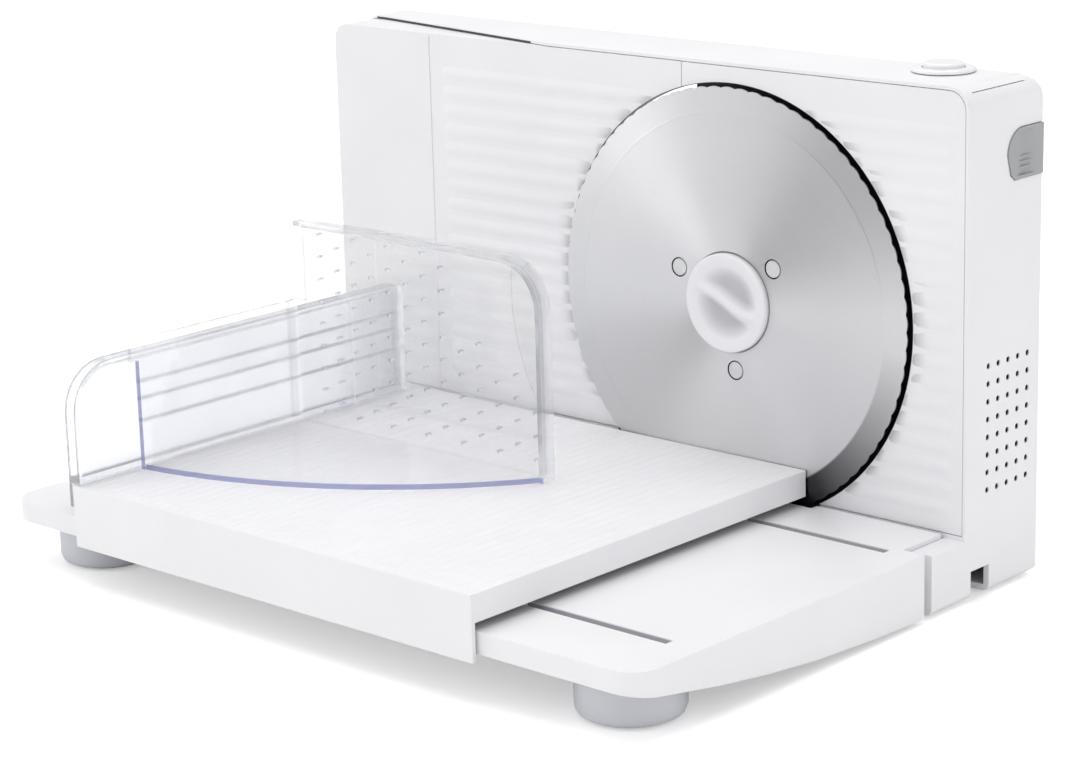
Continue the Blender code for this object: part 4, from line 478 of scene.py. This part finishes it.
def pusher_painted_edges(tree, place):
    """Where shade is painted: the front edges of the pusher's floor and side, and its pips."""
    hook_reach, slack, line, pip_length = 0.0035, 0.001, 0.0003, 0.0021
    floor_sheet, side_sheet, rim_front, rim_back = 0.0024, 0.006, 0.0092, 0.0048
    slight, forward = 0.4, -0.5
    low, high, side_front = pusher_low, pusher_high, pusher_low.y + hook_reach
    way = add(tree, "ShaderNodeTexCoord").outputs["Normal"]
    parts = add(tree, "ShaderNodeSeparateXYZ", {"Vector": way})
    facing = math_node(tree, "LESS_THAN", parts.outputs["Y"], forward)
    floor_edge = inside(tree, place, (low.x - slack, low.y - slack, low.z - slack),
                        (high.x + slack, high.y - 0.006, low.z + floor_sheet))
    side_edge = inside(tree, place, (wall_high.x, side_front - slack, low.z),
                       (wall_high.x + side_sheet, side_front + line, wall_high.z + 0.004))
    edges = math_node(tree, "MAXIMUM", floor_edge, side_edge)
    pips = inside(tree, place, (low.x, high.y - pip_length, low.z),
                  (high.x + slack, high.y + slack, high.z + slack))
    rim = inside(tree, place, (low.x + 0.01, high.y - rim_front, low.z + 0.003),
                 (high.x + slack, high.y - rim_back, high.z + slack))
    pips = math_node(tree, "MAXIMUM", pips, math_node(tree, "MULTIPLY", rim, slight))
    return math_node(tree, "MULTIPLY", edges, facing), pips


# Clear styrene of the pusher, nearly invisible but for its edges and pips, which carry painted
# shade
clear = clear_plastic("clear_polystyrene_polished_mould", 0.02, 0.38, pusher_painted_edges)
# The end wall's styrene off a dulled mould, milkier than the pusher
milky = clear_plastic("clear_polystyrene_dulled_mould", 0.22, 0.85, None, ("E4E6EC", "EAEBF0"))
# Rivet heads, pressed and tumbled: brighter and plainer than the ground disc round them
headed = drawn("stainless_steel_headed_tumbled", "DADADC", "E2E2E3", 0.42, (1.5, 1.5, 1.5), 0.004)

# The feet's ABS, a little greyer than the housing
foot_white = moulded("pale_grey_abs_moulded", "CFD0D6", "D5D6DB", 0.42, 0.7, 0.01)

finishes = {"white_abs": white, "white_button": gloss_white, "grey_abs": grey,
            "clear_styrene": clear, "stainless_steel": stainless, "zinc_plated_steel": zinc,
            "black_nylon": nylon, "white_acetal": acetal, "spring_steel": spring,
            "brass": brass, "steel_lamination": core, "sintered_bronze": bronze,
            "grey_rubber": rubber}
own_finishes = {"housing_shell": white_painted_opening_shade, "stop_plate_carrier": white_painted_opening_shade,
                "base_plate": white_painted_groove_shade, "carriage_plate": white_painted_underside_shade, "end_wall": milky,
                "right_foot": foot_white, "left_foot": foot_white}


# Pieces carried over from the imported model, with softened edges

weld_gap, flat_angle, edge_width = 0.00001, math.radians(0.4), 0.0003


def carry(name, slot_name, width):
    """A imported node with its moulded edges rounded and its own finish."""
    shape = nodes[name]
    shape.data.materials.clear()
    shape.data.materials.append(own_finishes.get(name, finishes[slot_name]))
    shape.data.shade_smooth()
    weld = shape.modifiers.new("weld", "WELD")
    weld.merge_threshold = weld_gap
    flat = shape.modifiers.new("flat", "DECIMATE")
    flat.decimate_type, flat.angle_limit = "DISSOLVE", flat_angle
    soften(shape, width, 2)


edge_widths = {"housing_shell": 0.0009, "base_plate": 0.0009, "carriage_plate": 0.0006,
               "rear_cover": 0.0006, "button_bezel": 0.0005, "safety_catch": 0.0005}
for part in frame["record"]["subparts"]:
    carry(part["node"], part["material_slot"], edge_widths.get(part["node"], edge_width))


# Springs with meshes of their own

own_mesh(nodes["plate_spring"])
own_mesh(nodes["button_spring"])


def settle_piece(piece, body, slot_name, *replaced):
    """Puts a finished piece on the body it rides on and hides what it stands for; its finish's slot
    is not used.
    """
    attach(piece, body)
    if replaced:
        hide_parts(*replaced)
    return piece


# Ribbed plates

plate_front = fixed_low.y + 0.0005
rib_rise, rib_pitch = 0.0005, 0.0079
first_rib = housing_high.z - 0.0175
rib_margin = 0.0032
# Between the ribs the sheet lies this far under the face, and its back this far
sunk, rib_backing = 0.00006, 0.0006
# The ribs end this far from the well, and have their full height from this far on
rib_cut_margin, rib_full_margin = 0.0006, 0.0050
# How far a cutter reaches past what it cuts, and the soft edges' width on plates and tray
over, plate_edge = 0.01, 0.0005
rib_foot = 0.0045


def well_cutter(front, back, margin=0.0):
    """The bar that cuts the blade's round well."""
    return round_bar("round", "Y", (blade.x, blade.z), front, back, well_radius + margin,
                     white_painted_well_shade, 160)


def soft_ribs(name, along, across, first, pitch, rise, swell, put, finish, body,
              rounds=True):
    """Ribs that swell softly out of a face and fade at round ends.

    along and across are (low, high) on the face, first is the first rib's middle, swell is
    half a rib's width, and put turns (along, across, height over the face) into a place.
    """
    left, right = along
    low, high = across
    ends = [0, 0.0003, 0.0008, 0.0014, 0.0021, 0.0028, 0.0036, 0.0046]
    spans, per_rib = 12, 14
    columns = [left + e for e in ends]
    columns += [left + (right - left) * k / spans for k in range(1, spans)]
    columns += [right - e for e in reversed(ends)]
    count = int((first + pitch / 2 - low) / pitch) * per_rib
    rows = [first + pitch / 2 - pitch * k / per_rib for k in range(count + 1)]
    rows = [v for v in rows if low <= v <= high]

    def lift(u, v):
        centre = first - round((first - v) / pitch) * pitch
        inner = min(max(u, left + pitch / 2), right - pitch / 2)
        away = min(math.hypot(u - inner, v - centre) / swell, 1.0)
        return (rise + sunk) * (0.5 + 0.5 * math.cos(math.pi * away)) - sunk

    body_mesh = bmesh.new()
    grid = [[body_mesh.verts.new(put(u, v, lift(u, v))) for u in columns] for v in rows]
    deep = [[put(u, v, -rib_backing) for u in columns] for v in rows]
    for upper, lower in zip(grid, grid[1:]):
        for k in range(len(columns) - 1):
            body_mesh.faces.new((upper[k], upper[k + 1], lower[k + 1], lower[k]))

    def border(table):
        ring = table[0] + [row[-1] for row in table[1:]] + table[-1][-2::-1]
        return ring + [row[0] for row in table[-2:0:-1]]

    rim = border(grid)
    behind = [body_mesh.verts.new(place) for place in border(deep)]
    for k in range(len(rim)):
        after = (k + 1) % len(rim)
        body_mesh.faces.new((rim[k], behind[k], behind[after], rim[after]))
    body_mesh.faces.new(behind)
    field = mesh_object(name, body_mesh, finish)
    if rounds:
        boolean(field, well_cutter(plate_front - over, plate_front + over, rib_cut_margin),
                "DIFFERENCE")
    field.data.shade_smooth()
    return settle_piece(field, body, "white_abs")


def plate_ribs(name, left, right, low, high, body):
    """Level ribs on the upright plates, which sink away before they reach the blade's well."""
    def put(x, z, height):
        away = math.hypot(x - blade.x, z - blade.z) - well_radius
        if height >= -sunk:
            height = (height + sunk) * step_up(away, rib_cut_margin, rib_full_margin) - sunk
        return x, plate_front - height, z

    return soft_ribs(name, (left, right), (low, high), first_rib, rib_pitch, rib_rise,
                     rib_pitch / 2, put, white_painted_well_shade, body)


def fixed_plate():
    """The ribbed plate to the right of the blade."""
    corner = 0.0072
    outline = rounded(fixed_low.x, fixed_low.z, fixed_high.x, fixed_high.z, (0, corner, 0, 0))
    shape = extruded("fixed_plate_body", outline, "Y", plate_front, fixed_high.y, white_painted_well_shade)
    boolean(shape, well_cutter(plate_front - over, fixed_high.y + over), "DIFFERENCE")
    soften(shape, plate_edge)
    settle_piece(shape, "slicer", "white_abs", "fixed_plate")
    plate_ribs("fixed_plate_ribs", fixed_low.x + rib_margin, fixed_high.x - rib_margin,
               fixed_low.z + rib_foot, fixed_high.z, "slicer")


fixed_plate()

sheet_front = plate_front + 0.0007
sheet_back = sheet_front + 0.0024
panel_left = stop_low.x + 0.0127
line_left = stop_low.x + 0.0573
stop_rib_left = stop_low.x + 0.0640


def stop_plate():
    """The sliding plate to the left of the blade: a sheet with side and top walls, a raised
    panel with a round upper left corner, and a fine line down the panel."""
    left, low, right, high = stop_low.x, stop_low.z, stop_high.x, stop_high.z
    wall, corner, panel_corner = 0.0024, 0.007, 0.032
    line_width, line_depth, line_top, line_corner = 0.0008, 0.0004, high - 0.0012, 0.0003
    shape = extruded("stop_plate_body", rounded(left, low, right, high, (0, 0, corner, 0)),
                     "Y", sheet_front, stop_high.y, white_painted_well_shade)
    inner = rounded(left + wall, low - over, right + over, high - wall, (0, 0, corner - wall, 0))
    boolean(shape, extruded("room", inner, "Y", sheet_back, stop_high.y + over, white),
            "DIFFERENCE")
    panel = extruded("panel", rounded(panel_left, low, right, high, (0, 0, panel_corner, 0), 24),
                     "Y", plate_front, sheet_back - 0.001, white)
    boolean(shape, panel, "UNION")
    groove = rounded(line_left, low - over, line_left + line_width, line_top,
                     (0, line_corner, line_corner, 0))
    boolean(shape, extruded("line", groove, "Y", plate_front - over, plate_front + line_depth,
                            white), "DIFFERENCE")
    boolean(shape, well_cutter(plate_front - over, stop_high.y + over), "DIFFERENCE")
    soften(shape, plate_edge)
    settle_piece(shape, "stop_plate", "white_abs", "stop_plate")
    plate_ribs("stop_plate_ribs", stop_rib_left, right - rib_margin, low + rib_foot, high,
               "stop_plate")


stop_plate()


# Carriage: a thin tray under a deck with soft waves

def carriage():
    """The tray that carries the food, its front apron, and the waves along its deck."""
    low, high = carriage_low, carriage_high
    wave_rise, wave_pitch, wave_swell, wave_margin = 0.0004, 0.0053, 0.0021, 0.0025
    first_wave = high.x - 0.00565
    depth, skin, side, apron_wall = 0.0105, 0.0025, 0.0025, 0.002
    corner, inner_corner = 0.0004, 0.001
    top = high.z - wave_rise
    bottom = top - depth
    shape = extruded("carriage_body", rounded(low.x, low.y, high.x, high.y, (corner,) * 4, 4),
                     "Z", bottom, top, white_painted_underside_shade)
    room = rounded(low.x + side, low.y + apron_wall, high.x - side, high.y - side,
                   (inner_corner,) * 4, 4)
    boolean(shape, extruded("room", room, "Z", bottom - over, top - skin, white_painted_underside_shade),
            "DIFFERENCE")
    apron = rounded(low.x, low.y, high.x, low.y + apron_wall, (corner,) * 4, 4)
    boolean(shape, extruded("apron", apron, "Z", low.z, top - skin / 2, white_painted_underside_shade), "UNION")
    soften(shape, plate_edge)
    settle_piece(shape, "carriage", "white_abs", "carriage_plate")
    soft_ribs("carriage_waves", (low.y + wave_margin, high.y - wave_margin),
              (low.x + wave_margin, high.x - wave_margin), first_wave, wave_pitch, wave_rise,
              wave_swell, lambda y, x, height: (x, y, top + height), white_painted_underside_shade,
              "carriage", False)


carriage()


def end_wall_ledges():
    """Three level ledges on the end wall's outer web, as the photo's lines across it."""
    web = (wall_low.x + wall_high.x) / 2
    drops, half, root, foot, crest = (0.0125, 0.0195, 0.0285), 0.0006, 0.0004, 0.0012, 0.0008
    front_inset, rear_inset, edge = 0.034, 0.004, 0.0002
    for number, drop in enumerate(drops, 1):
        height = wall_high.z - drop
        outline = [(web - foot, height - half), (web + root, height - half),
                   (web + root, height + half), (web - crest, height + half)]
        ledge = extruded(f"end_wall_ledge_{number}", outline, "Y", wall_low.y + front_inset,
                         wall_high.y - rear_inset, milky)
        soften(ledge, edge)
        settle_piece(ledge, "carriage", "clear_styrene")


end_wall_ledges()


# Blade: flat disc with a ground bevel and a wavy edge

def by_blade(reach, angle, y):
    """The place at a distance and angle round the blade's axis."""
    return blade.x + reach * math.cos(angle), y, blade.z + reach * math.sin(angle)


def blade_disc():
    """The disc's profile turned round the axis, its tip drawn in between the edge's waves."""
    teeth, steps, wave_depth, wave_shape = 78, 12, 0.0006, 0.8
    flat_radius, tip_radius = 0.0745, disc_high.z - blade.z
    bore = lock_high.x - blade.x + 0.0003
    front, edge, back = disc_low.y, disc_high.y - 0.0012, disc_high.y
    chamfer, bead_reach, bead_rise, bead_end = 0.0004, 0.00012, 0.00007, 0.00035
    sheet, tip_width, hole_depth, sharp = 0.0012, 0.0006, 0.0009, math.radians(25)
    body = bmesh.new()
    around = teeth * steps
    flat_rings = [bore + chamfer, 0.028, 0.045, 0.062, flat_radius - 0.0012, flat_radius]
    bevel_shares = [0.06, 0.12, 0.3, 0.55, 0.75, 0.85, 0.92, 0.97, 1.0]
    rings = []
    for index in range(around):
        crest = abs(math.sin(math.pi * index / steps)) ** wave_shape
        reach = tip_radius - wave_depth * (1 - crest)
        column = [(bore, front + chamfer)] + [(r, front) for r in flat_rings]
        column += [(flat_radius + bead_reach, front - bead_rise), (flat_radius + bead_end, front)]
        column += [(flat_radius + (reach - flat_radius) * share, front + (edge - front) * share)
                   for share in bevel_shares]
        column += [(reach, edge + tip_width), (reach - tip_width, back - chamfer),
                   (flat_radius, front + sheet), (bore, front + sheet)]
        angle = math.tau * index / around
        rings.append([body.verts.new(by_blade(r, angle, y)) for r, y in column])
    for index in range(around):
        one, two = rings[index], rings[(index + 1) % around]
        for k in range(len(one)):
            after = (k + 1) % len(one)
            body.faces.new((one[k], one[after], two[after], two[k]))
    disc = mesh_object("ground_blade", body, stainless, sharp)
    for centre in rivets:
        boolean(disc, round_bar("rivet_hole", "Y", centre, front - hole_depth,
                                front + hole_depth, rivet_hole, stainless, 48), "DIFFERENCE")
    disc.data.set_sharp_from_angle(angle=sharp)
    return settle_piece(disc, "blade", "stainless_steel", "blade_disc")


blade_disc()


def input_socket(tree, kind, name, value=None):
    """Gives a node group a named input, and returns the identifier it is set by."""
    made = tree.interface.new_socket(name, in_out="INPUT", socket_type=kind)
    if value is not None:
        made.default_value = value
    return made.identifier


def rivet_tree():
    """Geometry Nodes: rivets on a circle, with flush chamfered heads and shanks behind."""
    tree = bpy.data.node_groups.new("rivets_on_a_circle", "GeometryNodeTree")
    sizes = {"Count": ("NodeSocketInt", 3), "Circle Radius": ("NodeSocketFloat", 0.0272),
             "First Angle": ("NodeSocketFloat", 0.0), "Head Radius": ("NodeSocketFloat", 0.0035),
             "Head Height": ("NodeSocketFloat", 0.0006), "Chamfer": ("NodeSocketFloat", 0.0002),
             "Shank Radius": ("NodeSocketFloat", 0.002),
             "Shank Length": ("NodeSocketFloat", 0.003), "Centre": ("NodeSocketVector", None),
             "Material": ("NodeSocketMaterial", None)}
    ids = {name: input_socket(tree, kind, name, value) for name, (kind, value) in sizes.items()}
    tree.interface.new_socket("Geometry", in_out="OUTPUT", socket_type="NodeSocketGeometry")
    given = add(tree, "NodeGroupInput").outputs
    ring = add(tree, "GeometryNodeMeshCircle", {"Vertices": given["Count"],
                                                "Radius": given["Circle Radius"]})
    start = add(tree, "ShaderNodeCombineXYZ", {"Z": given["First Angle"]})
    turned = add(tree, "GeometryNodeTransform", {"Geometry": ring.outputs[0],
                                                 "Rotation": start.outputs[0]})
    head = add(tree, "GeometryNodeMeshCylinder", {"Vertices": 48, "Radius": given["Head Radius"],
                                                  "Depth": given["Head Height"]})
    low = math_node(tree, "MULTIPLY", given["Head Height"], -0.5)
    head_drop = add(tree, "ShaderNodeCombineXYZ", {"Z": math_node(tree, "SUBTRACT", low,
                                                                  given["Chamfer"])})
    head = add(tree, "GeometryNodeTransform", {"Geometry": head.outputs["Mesh"],
                                               "Translation": head_drop.outputs[0]})
    crown = add(tree, "GeometryNodeMeshCone",
                {"Vertices": 48, "Depth": given["Chamfer"], "Radius Bottom": given["Head Radius"],
                 "Radius Top": math_node(tree, "SUBTRACT", given["Head Radius"],
                                         given["Chamfer"])})
    crown_drop = add(tree, "ShaderNodeCombineXYZ",
                     {"Z": math_node(tree, "MULTIPLY", given["Chamfer"], -1.0)})
    crown = add(tree, "GeometryNodeTransform", {"Geometry": crown.outputs["Mesh"],
                                                "Translation": crown_drop.outputs[0]})
    shank = add(tree, "GeometryNodeMeshCylinder", {"Vertices": 32, "Radius": given["Shank Radius"],
                                                   "Depth": given["Shank Length"]})
    shank_drop = add(tree, "ShaderNodeCombineXYZ",
                     {"Z": math_node(tree, "MULTIPLY", given["Shank Length"], -0.5)})
    shank_drop = add(tree, "ShaderNodeVectorMath", {0: shank_drop.outputs[0],
                                                    1: head_drop.outputs[0]}, operation="ADD")
    shank = add(tree, "GeometryNodeTransform", {"Geometry": shank.outputs["Mesh"],
                                                "Translation": shank_drop.outputs[0]})
    rivet = add(tree, "GeometryNodeJoinGeometry")
    for part in (crown, head, shank):
        tree.links.new(part.outputs[0], rivet.inputs[0])
    placed = add(tree, "GeometryNodeInstanceOnPoints", {"Points": turned.outputs[0],
                                                        "Instance": rivet.outputs[0]})
    upright = add(tree, "GeometryNodeTransform", {"Geometry": placed.outputs[0],
                                                  "Rotation": (math.pi / 2, 0.0, 0.0),
                                                  "Translation": given["Centre"]})
    real = add(tree, "GeometryNodeRealizeInstances", {"Geometry": upright.outputs[0]})
    done = add(tree, "GeometryNodeSetMaterial", {"Geometry": real.outputs[0],
                                                 "Material": given["Material"]})
    end = add(tree, "NodeGroupOutput")
    tree.links.new(done.outputs[0], end.inputs[0])
    return tree, ids


def blade_rivets():
    """The three rivets, placed and sized by the model's first one."""
    head_depth, recess, sharp = 0.001, 0.00005, math.radians(30)
    tree, ids = rivet_tree()
    (x, z), (low, high) = rivets[0], rivet_boxes[0]
    across = Vector((x - blade.x, z - blade.z))
    values = {"Circle Radius": across.length, "First Angle": math.atan2(across.y, across.x),
              "Head Radius": (high.x - low.x) / 2,
              "Shank Length": high.y - disc_low.y - head_depth,
              "Centre": Vector((blade.x, disc_low.y + recess, blade.z)), "Material": headed}
    shape = bpy.data.objects.new("blade_rivet_heads", bpy.data.meshes.new("blade_rivet_heads"))
    bpy.context.scene.collection.objects.link(shape)
    step = shape.modifiers.new("rivets", "NODES")
    step.node_group = tree
    for name, value in values.items():
        step[ids[name]] = value
    baked(shape)
    shape.data.set_sharp_from_angle(angle=sharp)
    settle_piece(shape, "blade", "stainless_steel", "blade_rivet_1", "blade_rivet_2",
                 "blade_rivet_3")


blade_rivets()


def blade_lock():
    """The lock's dished face with a soft S shaped finger ridge across it."""
    radius = lock_high.x - blade.x
    front, depth, rim, back = lock_low.y, 0.0034, 0.0012, disc_low.y + 0.0012
    half_length, half_width, ridge_share = 0.0165, 0.0062, 0.92
    slope, swing, bends, taper = -0.28, 0.0016, 0.9, 0.3
    dish_floor, fade_start, fade_end = radius * 0.4, half_length * 0.7, half_length * 1.15
    body = bmesh.new()
    around, count, ring_bias, inner_rim = 192, 56, 0.9, radius - 0.0006
    angles = [math.tau * s / around for s in range(around)]

    def face(x, z):
        """How far back the face lies: a dish, less the ridge that swings across it."""
        dish = depth * (1 - step_up(math.hypot(x, z), dish_floor, radius - rim))
        course = slope * x + swing * math.sin(-math.pi * x / half_length * bends)
        slim = half_width * (1 - taper * (x / half_length) ** 2)
        crest = 1 - step_up(abs(z - course), 0.0, slim)
        fade = 1 - step_up(abs(x), fade_start, fade_end)
        return front + dish - dish * ridge_share * crest * fade

    rings = [[body.verts.new((blade.x, face(0, 0), blade.z))] * around]
    for k in range(1, count + 1):
        reach = inner_rim * (k / count) ** ring_bias
        rings.append([body.verts.new(by_blade(reach, a, face(reach * math.cos(a),
                                                             reach * math.sin(a))))
                      for a in angles])
    for reach, y in ((radius - 0.0003, front + 0.0001), (radius, front + 0.0005),
                     (radius, back), (radius * 0.5, back)):
        rings.append([body.verts.new(by_blade(reach, a, y)) for a in angles])
    for one, two in zip(rings, rings[1:]):
        for s in range(around):
            after = (s + 1) % around
            corners = (one[s], one[after], two[after], two[s])
            body.faces.new(dict.fromkeys(corners))
    boss = [body.verts.new((v.co.x, lock_high.y, v.co.z)) for v in rings[-1]]
    for s in range(around):
        after = (s + 1) % around
        body.faces.new((rings[-1][s], rings[-1][after], boss[after], boss[s]))
    body.faces.new(boss)
    lock = mesh_object("dished_lock", body, white_painted_dish_shade, math.radians(50))
    return settle_piece(lock, "blade_lock", "white_abs", "blade_lock")


blade_lock()


# Camera: a long lens, a little above and to the right of the blade

def place_camera():
    yaw, pitch, roll = math.radians(42.75), math.radians(14.85), math.radians(-1.57)
    away = Vector((math.sin(yaw) * math.cos(pitch), -math.cos(yaw) * math.cos(pitch),
                   math.sin(pitch)))
    right = Vector((math.cos(yaw), math.sin(yaw), 0))
    up = away.cross(right)
    turned_right = right * math.cos(roll) + up * math.sin(roll)
    turned_up = up * math.cos(roll) - right * math.sin(roll)
    camera_data = bpy.data.cameras.new("camera")
    camera_data.lens, camera_data.sensor_width = 100.37, 36.0
    camera = bpy.data.objects.new("camera", camera_data)
    bpy.context.scene.collection.objects.link(camera)
    matrix = Matrix((turned_right, turned_up, away)).transposed().to_4x4()
    matrix.translation = blade + Vector((0.7228, -0.8936, 0.2742))
    camera.matrix_world = matrix
    bpy.context.scene.camera = camera


place_camera()


# White studio

def area_lamp(name, place, target, width, height, power):
    data = bpy.data.lights.new(name, "AREA")
    data.shape, data.size, data.size_y, data.energy = "RECTANGLE", width, height, power
    lamp = bpy.data.objects.new(name, data)
    lamp.location = place
    lamp.rotation_euler = (Vector(target) - Vector(place)).to_track_quat("-Z", "Y").to_euler()
    bpy.context.scene.collection.objects.link(lamp)
    return lamp


def make_world():
    world = bpy.data.worlds.new("white_studio")
    bpy.context.scene.world = world
    world.use_nodes = True
    tree = world.node_tree
    tree.nodes.clear()
    ray = add(tree, "ShaderNodeLightPath")
    seen = add(tree, "ShaderNodeMath", {0: ray.outputs["Is Camera Ray"],
                                        1: ray.outputs["Is Transmission Ray"]},
               operation="MAXIMUM")
    way = add(tree, "ShaderNodeTexCoord").outputs["Generated"]
    across = add(tree, "ShaderNodeSeparateXYZ", {"Vector": way}).outputs["X"]
    side = spread(tree, across, room_light * left_share, room_light * right_share, *side_span)
    towards = add(tree, "ShaderNodeVectorMath", {0: way, 1: dark_way}, operation="DOT_PRODUCT")
    dark = spread(tree, towards.outputs["Value"], 1.0, dark_share, *dark_span)
    dim = add(tree, "ShaderNodeMix", {0: ray.outputs["Is Glossy Ray"], 2: 1.0, 3: dark},
              data_type="FLOAT")
    lit = math_node(tree, "MULTIPLY", side, dim.outputs[0])
    level = add(tree, "ShaderNodeMix", {0: seen.outputs[0], 2: lit, 3: 1.0}, data_type="FLOAT")
    light = add(tree, "ShaderNodeBackground", {"Color": (1, 1, 1, 1),
                                               "Strength": level.outputs[0]})
    out = add(tree, "ShaderNodeOutputWorld")
    tree.links.new(light.outputs[0], out.inputs["Surface"])


# The room's light, a little stronger on the left, and between which directions it changes
room_light, left_share, right_share, side_span = 0.68, 1.12, 0.82, (-0.6, 0.9)
# The dim side of the studio behind the camera, which shiny metal shows as dark fans
dark_way, dark_share, dark_span = (0.03, -0.917, 0.398), 0.25, (0.55, 0.95)
make_world()

lamps = [area_lamp("overhead", (-0.1, 0.1, 2.4), (0, 0, 0.1), 2.2, 1.8, 25),
         area_lamp("front_left", (-1.6, -2.1, 1.3), (0, 0, 0.1), 1.4, 1.4, 5),
         area_lamp("left_card", (-2.3, -1.3, 0.45), (0, 0, 0.1), 0.9, 0.8, 5),
         area_lamp("right_fill", (2.4, -0.6, 1.0), (0.1, 0, 0.1), 1.2, 1.6, 7)]


# The paper's own brightness for the camera: open floor turns white and the shadow stays soft
floor_lift = 0.36


def white_floor():
    made, tree, shader, place = surface("white_sweep_paper", 0.9)
    grain = noise(tree, place, 3.0, 3.0)
    tree.links.new(tint(tree, grain, "FDFDFD", "FFFFFF"), shader.inputs["Base Color"])
    tree.links.new(bump(tree, grain, 0.01), shader.inputs["Normal"])
    ray = add(tree, "ShaderNodeLightPath")
    seen = add(tree, "ShaderNodeMath", {0: ray.outputs["Is Camera Ray"],
                                        1: ray.outputs["Is Transmission Ray"]},
               operation="MAXIMUM")
    glow = add(tree, "ShaderNodeMath", {0: seen.outputs[0], 1: floor_lift}, operation="MULTIPLY")
    shader.inputs["Emission Color"].default_value = (1, 1, 1, 1)
    tree.links.new(glow.outputs[0], shader.inputs["Emission Strength"])
    half = 4.0
    body = bmesh.new()
    corners = [(-half, -half, 0), (half, -half, 0), (half, half, 0), (-half, half, 0)]
    body.faces.new([body.verts.new(c) for c in corners])
    return mesh_object("white_floor", body, made)


floor = white_floor()

bpy.context.scene.view_settings.view_transform = "Standard"
